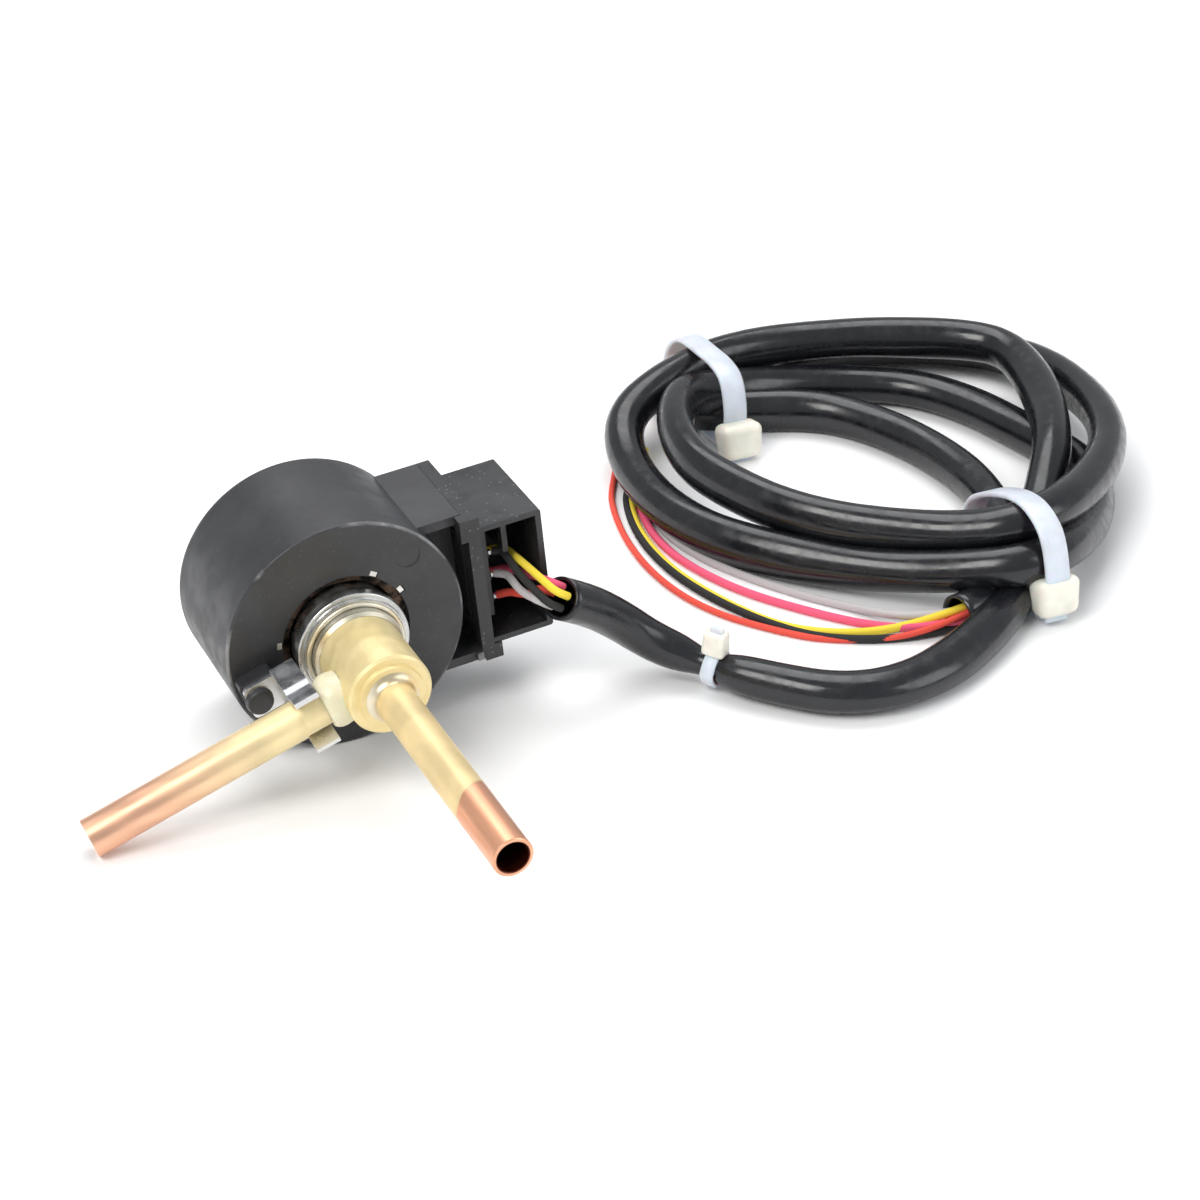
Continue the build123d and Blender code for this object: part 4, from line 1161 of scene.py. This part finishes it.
@dataclass
class TurnWires:
    """The five wires that turn from the long sleeve's end back into the short sleeve.

    Args:
        route: The outermost wire's control points, in millimetres.
        centre: The middle that the inner wires are drawn towards.
        drawn: Which of the route's points are drawn in, from the first to the last.
        inner_shift: How far a wire drawn fully in would move along Y.
        diameter: A wire's diameter, in millimetres.
        wires: Each wire's colour, its share of the route's spread, and its rise in millimetres.
    """

    route: list[Point] = field(default_factory=lambda: [
        (110.4, 90.6, 4.0), (106.2, 92.0, 4.1), (101.4, 94.6, 4.1), (97.6, 98.2, 3.4), (98.0, 102.8, 2.6),
        (102.6, 105.8, 2.8), (108.4, 106.0, 3.2), (113.6, 104.9, 3.6), (119.4, 104.4, 3.7)])
    centre: tuple[float, float] = (104.0, 99.6)
    drawn: tuple[int, int] = (2, 6)
    inner_shift: float = 3.0
    diameter: float = 1.2
    wires: tuple[tuple[Colours, float, float], ...] = (
        (Colours.YELLOW, 0.96, 1.5), (Colours.RED, 0.96, 0.1), (Colours.PINK, 0.72, 0.9),
        (Colours.GREY, 0.72, -0.5), (Colours.BLACK, 0.90, -1.3))

    def points(self, share: float, rise: float) -> list[Point]:
        """Draws the route in for one wire.

        Args:
            share: The wire's share of the route's spread.
            rise: How far it lies above the route, in millimetres.

        Returns:
            Its control points, in millimetres.
        """
        first, last = self.drawn
        shares = [share if first <= i <= last else 1.0 for i in range(len(self.route))]
        return [(self.centre[0] + (x - self.centre[0]) * part,
                 self.centre[1] + (y - self.centre[1]) * part + (1.0 - share) * self.inner_shift,
                 z + rise) for part, (x, y, z) in zip(shares, self.route)]

    def build(self) -> list[bpy.types.Object]:
        """Makes each wire as a spline with a round section.

        Returns:
            The wires.
        """
        pieces: list[bpy.types.Object] = []
        for colour, share, rise in self.wires:
            points = self.points(share, rise)
            route = Route(f"turn_{wire_slot(colour)}", points)
            piece = route.curve(self.diameter / 2 * MM)
            wire_finish(colour).dress(piece)
            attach(piece, "valve")
            path_length(route.samples())
            pieces.append(piece)
        return pieces


@dataclass
class SideCollar:
    """The rounded collar of pale braze flux round the side tube's root.

    Args:
        start: The point on the valve axis that the side tube points away from, in millimetres.
        axis: The side tube's direction.
        profile: Distance along the tube and radius of each ring, in millimetres.
        sides: Corners of each ring.
        inner_radius: The least radius, just outside the tube.
        unevenness: The greatest share by which the radius wanders.
        wave_round: How fast it wanders round the tube.
        wave_along: How fast it wanders along the tube.
    """

    start: Point = (6.1224, 7.9, 19.8)
    axis: Point = (-0.94179, 0.0, -0.33620)
    profile: tuple[tuple[float, float], ...] = (
        (5.6, 4.15), (6.8, 4.35), (7.6, 4.42), (8.3, 4.36), (8.9, 4.12), (9.3, 3.75), (9.45, 3.4), (9.45, 3.2))
    sides: int = 48
    inner_radius: float = 3.2
    unevenness: float = 0.035
    wave_round: float = 1.4
    wave_along: float = 0.4

    def build(self) -> list[bpy.types.Object]:
        """Makes a lathed collar with slightly uneven edges.

        Returns:
            The collar, as a list of one.
        """
        along = Vector(self.axis).normalized()
        across = Vector((0.0, 1.0, 0.0))
        rise = along.cross(across)
        corners: list[Vector] = []
        for reach, radius in self.profile:
            for k in range(self.sides):
                angle = 2 * math.pi * k / self.sides
                spot = Vector((math.cos(angle) * self.wave_round, math.sin(angle) * self.wave_round,
                               reach * self.wave_along))
                grown = max(radius * (1.0 + self.unevenness * noise.noise(spot)), self.inner_radius)
                corners.append(metres(self.start) + along * reach * MM
                               + (across * math.cos(angle) + rise * math.sin(angle)) * grown * MM)
        faces = [(i * self.sides + k, i * self.sides + (k + 1) % self.sides,
                  (i + 1) * self.sides + (k + 1) % self.sides, (i + 1) * self.sides + k)
                 for i in range(len(self.profile) - 1) for k in range(self.sides)]
        piece = mesh_object("side_collar", corners, faces)
        BRAZE_FLUX.dress(piece)
        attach(piece, "valve")
        return [piece]


@dataclass
class PlainFinishes:
    """The finishes of the solid parts that keep their own meshes.

    Args:
        axis_point: The middle of the coil's front face, in millimetres.
        side_axis: The side tube's direction.
    """

    axis_point: Point = (6.1224, 20.7, 19.8)
    side_axis: Point = (-0.94179, 0.0, -0.33620)

    def coil(self) -> dict[str, Finish]:
        """Chooses the finishes of the coil, its yokes, its connector and its clip.

        Returns:
            The finish of each part, by the part's name.
        """
        charcoal = CoilPlastic("moulding_charcoal", Colours.CHARCOAL.value, dust_share=0.08, origin=self.axis_point)
        cover = MouldedPlastic("cover_black", Colours.COVER_BLACK.value, 0.34, 0.2, (0.4, 0.4, 0.4), 0.3)
        # The yoke's brown-black is partly painted shade of the bore wall; beyond the bore it is painted pale as a
        # glint.
        zinc = YokeSteel("yoke_steel", (0.085, 0.055, 0.038), self.axis_point)
        tin = Metal("bright_tin", Colours.BRIGHT_TIN.value, 0.34, (0.70, 0.72, 0.76))
        header = MouldedPlastic("header_nylon", (0.02, 0.02, 0.02), 0.4)
        winding = Metal("winding_enamel", (0.55, 0.20, 0.08), 0.3, (0.40, 0.12, 0.05))
        return {
            "coil_moulding": charcoal, "lead_cover": cover, "terminal_header": header, "terminal_pins": tin,
            "front_bobbin": header, "rear_bobbin": header, "front_winding": winding, "rear_winding": winding,
            "front_yoke": zinc, "rear_yoke": zinc, "front_inner_yoke": zinc, "rear_inner_yoke": zinc,
            "mounting_clip": tin, "rotor_hub": cover, "thrust_washer": header,
        }

    def valve(self) -> dict[str, Finish]:
        """Chooses the finishes of the body, its tubes and what moves inside.

        Returns:
            The finish of each part, by the part's name.
        """
        steel = Metal("turned_steel", Colours.STEEL.value, 0.28, (0.42, 0.42, 0.42))
        brass = Lacquer("lacquered_brass", (0.84, 0.70, 0.38), 0.42)
        braze = Metal("silver_braze", (0.72, 0.68, 0.55), 0.36, (0.75, 0.55, 0.26))
        outlet = CoatedTube("outlet_copper", (0.86, 0.44, 0.27), self.axis_point, (0.0, -1.0, 0.0),
                            coat=(0.84, 0.66, 0.34), fade=(51.0, 51.5), slant=0.6)
        side = CoatedTube("side_copper", (0.88, 0.51, 0.34), self.axis_point, self.side_axis,
                          coat=(0.86, 0.72, 0.40), fade=(15.0, 44.0))
        magnet = MouldedPlastic("magnet_ferrite", (0.035, 0.033, 0.032), 0.5)
        return {
            "valve_body": brass, "guide_nut": brass, "outlet_tube": outlet, "side_tube": side,
            "rotor_can": steel, "base_ring": steel, "can_braze": braze, "body_braze": braze,
            "outlet_braze": braze, "side_braze": BRAZE_FLUX, "lead_screw": steel, "needle_holder": steel,
            "needle": steel, "needle_spring": steel, "rotor_magnet": magnet,
        }

    def wires(self) -> dict[str, Finish]:
        """The finish of each lead wire, by the part's name."""
        return {f"lead_{wire_slot(colour)}": wire_finish(colour) for colour in WIRE_ROUGHNESS}

    def build(self) -> list[bpy.types.Object]:
        """Dresses every solid that has a finish here.

        Returns:
            The dressed solids.
        """
        pieces: list[bpy.types.Object] = []
        for node, finish in {**self.coil(), **self.valve(), **self.wires()}.items():
            finish.dress(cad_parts[node])
            pieces.append(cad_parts[node])
        return pieces


@dataclass(frozen=True)
class Lamp:
    """A square soft lamp.

    Args:
        name: Its name.
        place: Where it hangs, in metres.
        size: Its side, in metres.
        power: Its power, in watts.
        colour: Its light's colour.
    """

    name: str
    place: Point
    size: float
    power: float
    colour: Colour

    def build(self, target: Vector) -> None:
        """Hangs the lamp and turns it towards a point.

        Args:
            target: The point, in metres.
        """
        data = bpy.data.lights.new(self.name, "AREA")
        data.size = self.size
        data.energy = self.power
        data.color = self.colour
        lamp = bpy.data.objects.new(self.name, data)
        lamp.location = self.place
        aim = lamp.location - target
        lamp.rotation_euler = aim.to_track_quat("Z", "Y").to_euler()
        bpy.context.scene.collection.objects.link(lamp)


@dataclass
class Studio:
    """The camera, the pale floor and the soft lamps.

    Args:
        azimuth: The camera's angle round the object, in degrees.
        elevation: Its angle above the floor, in degrees.
        distance: Its distance from the target, in millimetres.
        target: The point it looks at, in millimetres.
        lens: Its focal length, in millimetres.
        sensor: Its sensor's width, in millimetres.
        clip: The nearest and farthest distance that it sees, in metres.
        floor_half: Half the floor's side, in metres.
        floor_colour: The floor's colour.
        sky_colour: The sky's colour.
        sky_level: The sky's strength.
        lamps: The soft lamps.
    """

    azimuth: float = -24.68
    elevation: float = 30.82
    distance: float = 531.7
    target: Point = (54.15, 30.19, 9.25)
    lens: float = 96.0
    sensor: float = 36.0
    clip: tuple[float, float] = (0.01, 20.0)
    floor_half: float = 3.0
    floor_colour: Colour = (0.93, 0.93, 0.93)
    sky_colour: Colour = (0.95, 0.97, 1.0)
    sky_level: float = 0.55
    lamps: tuple[Lamp, ...] = (
        Lamp("key", (-0.55, -0.25, 0.75), 0.5, 6.0, (1.0, 0.99, 0.97)),
        Lamp("fill", (0.75, -0.55, 0.45), 0.6, 3.0, (0.96, 0.98, 1.0)),
        Lamp("top", (0.15, 0.45, 0.85), 0.7, 5.0, (1.0, 1.0, 1.0)))

    def camera(self) -> None:
        """The camera at the photographed angle."""
        a, e = math.radians(self.azimuth), math.radians(self.elevation)
        back = Vector((math.sin(a) * math.cos(e), -math.cos(a) * math.cos(e), math.sin(e)))
        data = bpy.data.cameras.new("view")
        data.lens = self.lens
        data.sensor_width = self.sensor
        data.sensor_fit = "HORIZONTAL"
        data.clip_start, data.clip_end = self.clip
        camera = bpy.data.objects.new("view", data)
        camera.location = metres(self.target) + back * self.distance * MM
        camera.rotation_euler = back.to_track_quat("Z", "Y").to_euler()
        bpy.context.scene.collection.objects.link(camera)
        bpy.context.scene.camera = camera

    def floor(self) -> None:
        """A pale matt floor that keeps the object's shadow."""
        h = self.floor_half
        corners = [Vector((x, y, 0.0)) for x, y in ((-h, -h), (h, -h), (h, h), (-h, h))]
        floor = mesh_object("floor", corners, [(0, 1, 2, 3)])
        graph = ShaderGraph("floor_white")
        graph.set(Base_Color=self.floor_colour, Roughness=0.9, Specular_IOR_Level=0.1)
        floor.data.materials.append(graph.material)

    def world(self) -> None:
        """A plain, slightly cool sky."""
        world = bpy.data.worlds.new("sky")
        world.use_nodes = True
        sky = world.node_tree.nodes["Background"]
        sky.inputs["Color"].default_value = (*self.sky_colour, 1.0)
        sky.inputs["Strength"].default_value = self.sky_level
        bpy.context.scene.world = world

    def build(self) -> list[bpy.types.Object]:
        """Sets everything up.

        Returns:
            An empty list, because nothing here is a piece of the object.
        """
        bpy.context.scene.view_settings.view_transform = "Standard"
        self.camera()
        self.floor()
        self.world()
        for lamp in self.lamps:
            lamp.build(metres(self.target))
        return []


def main() -> None:
    """Builds the studio, the cords and the finishes in order."""
    for part in (Studio(), Sleeves(), TailWires(), TurnWires(), SideCollar(), PlainFinishes()):
        for piece in part.build():
            log.info("%s: %s", type(part).__name__, piece.name)


if __name__ == "__main__":
    logging.basicConfig(level=logging.INFO, format="%(message)s")
    main()
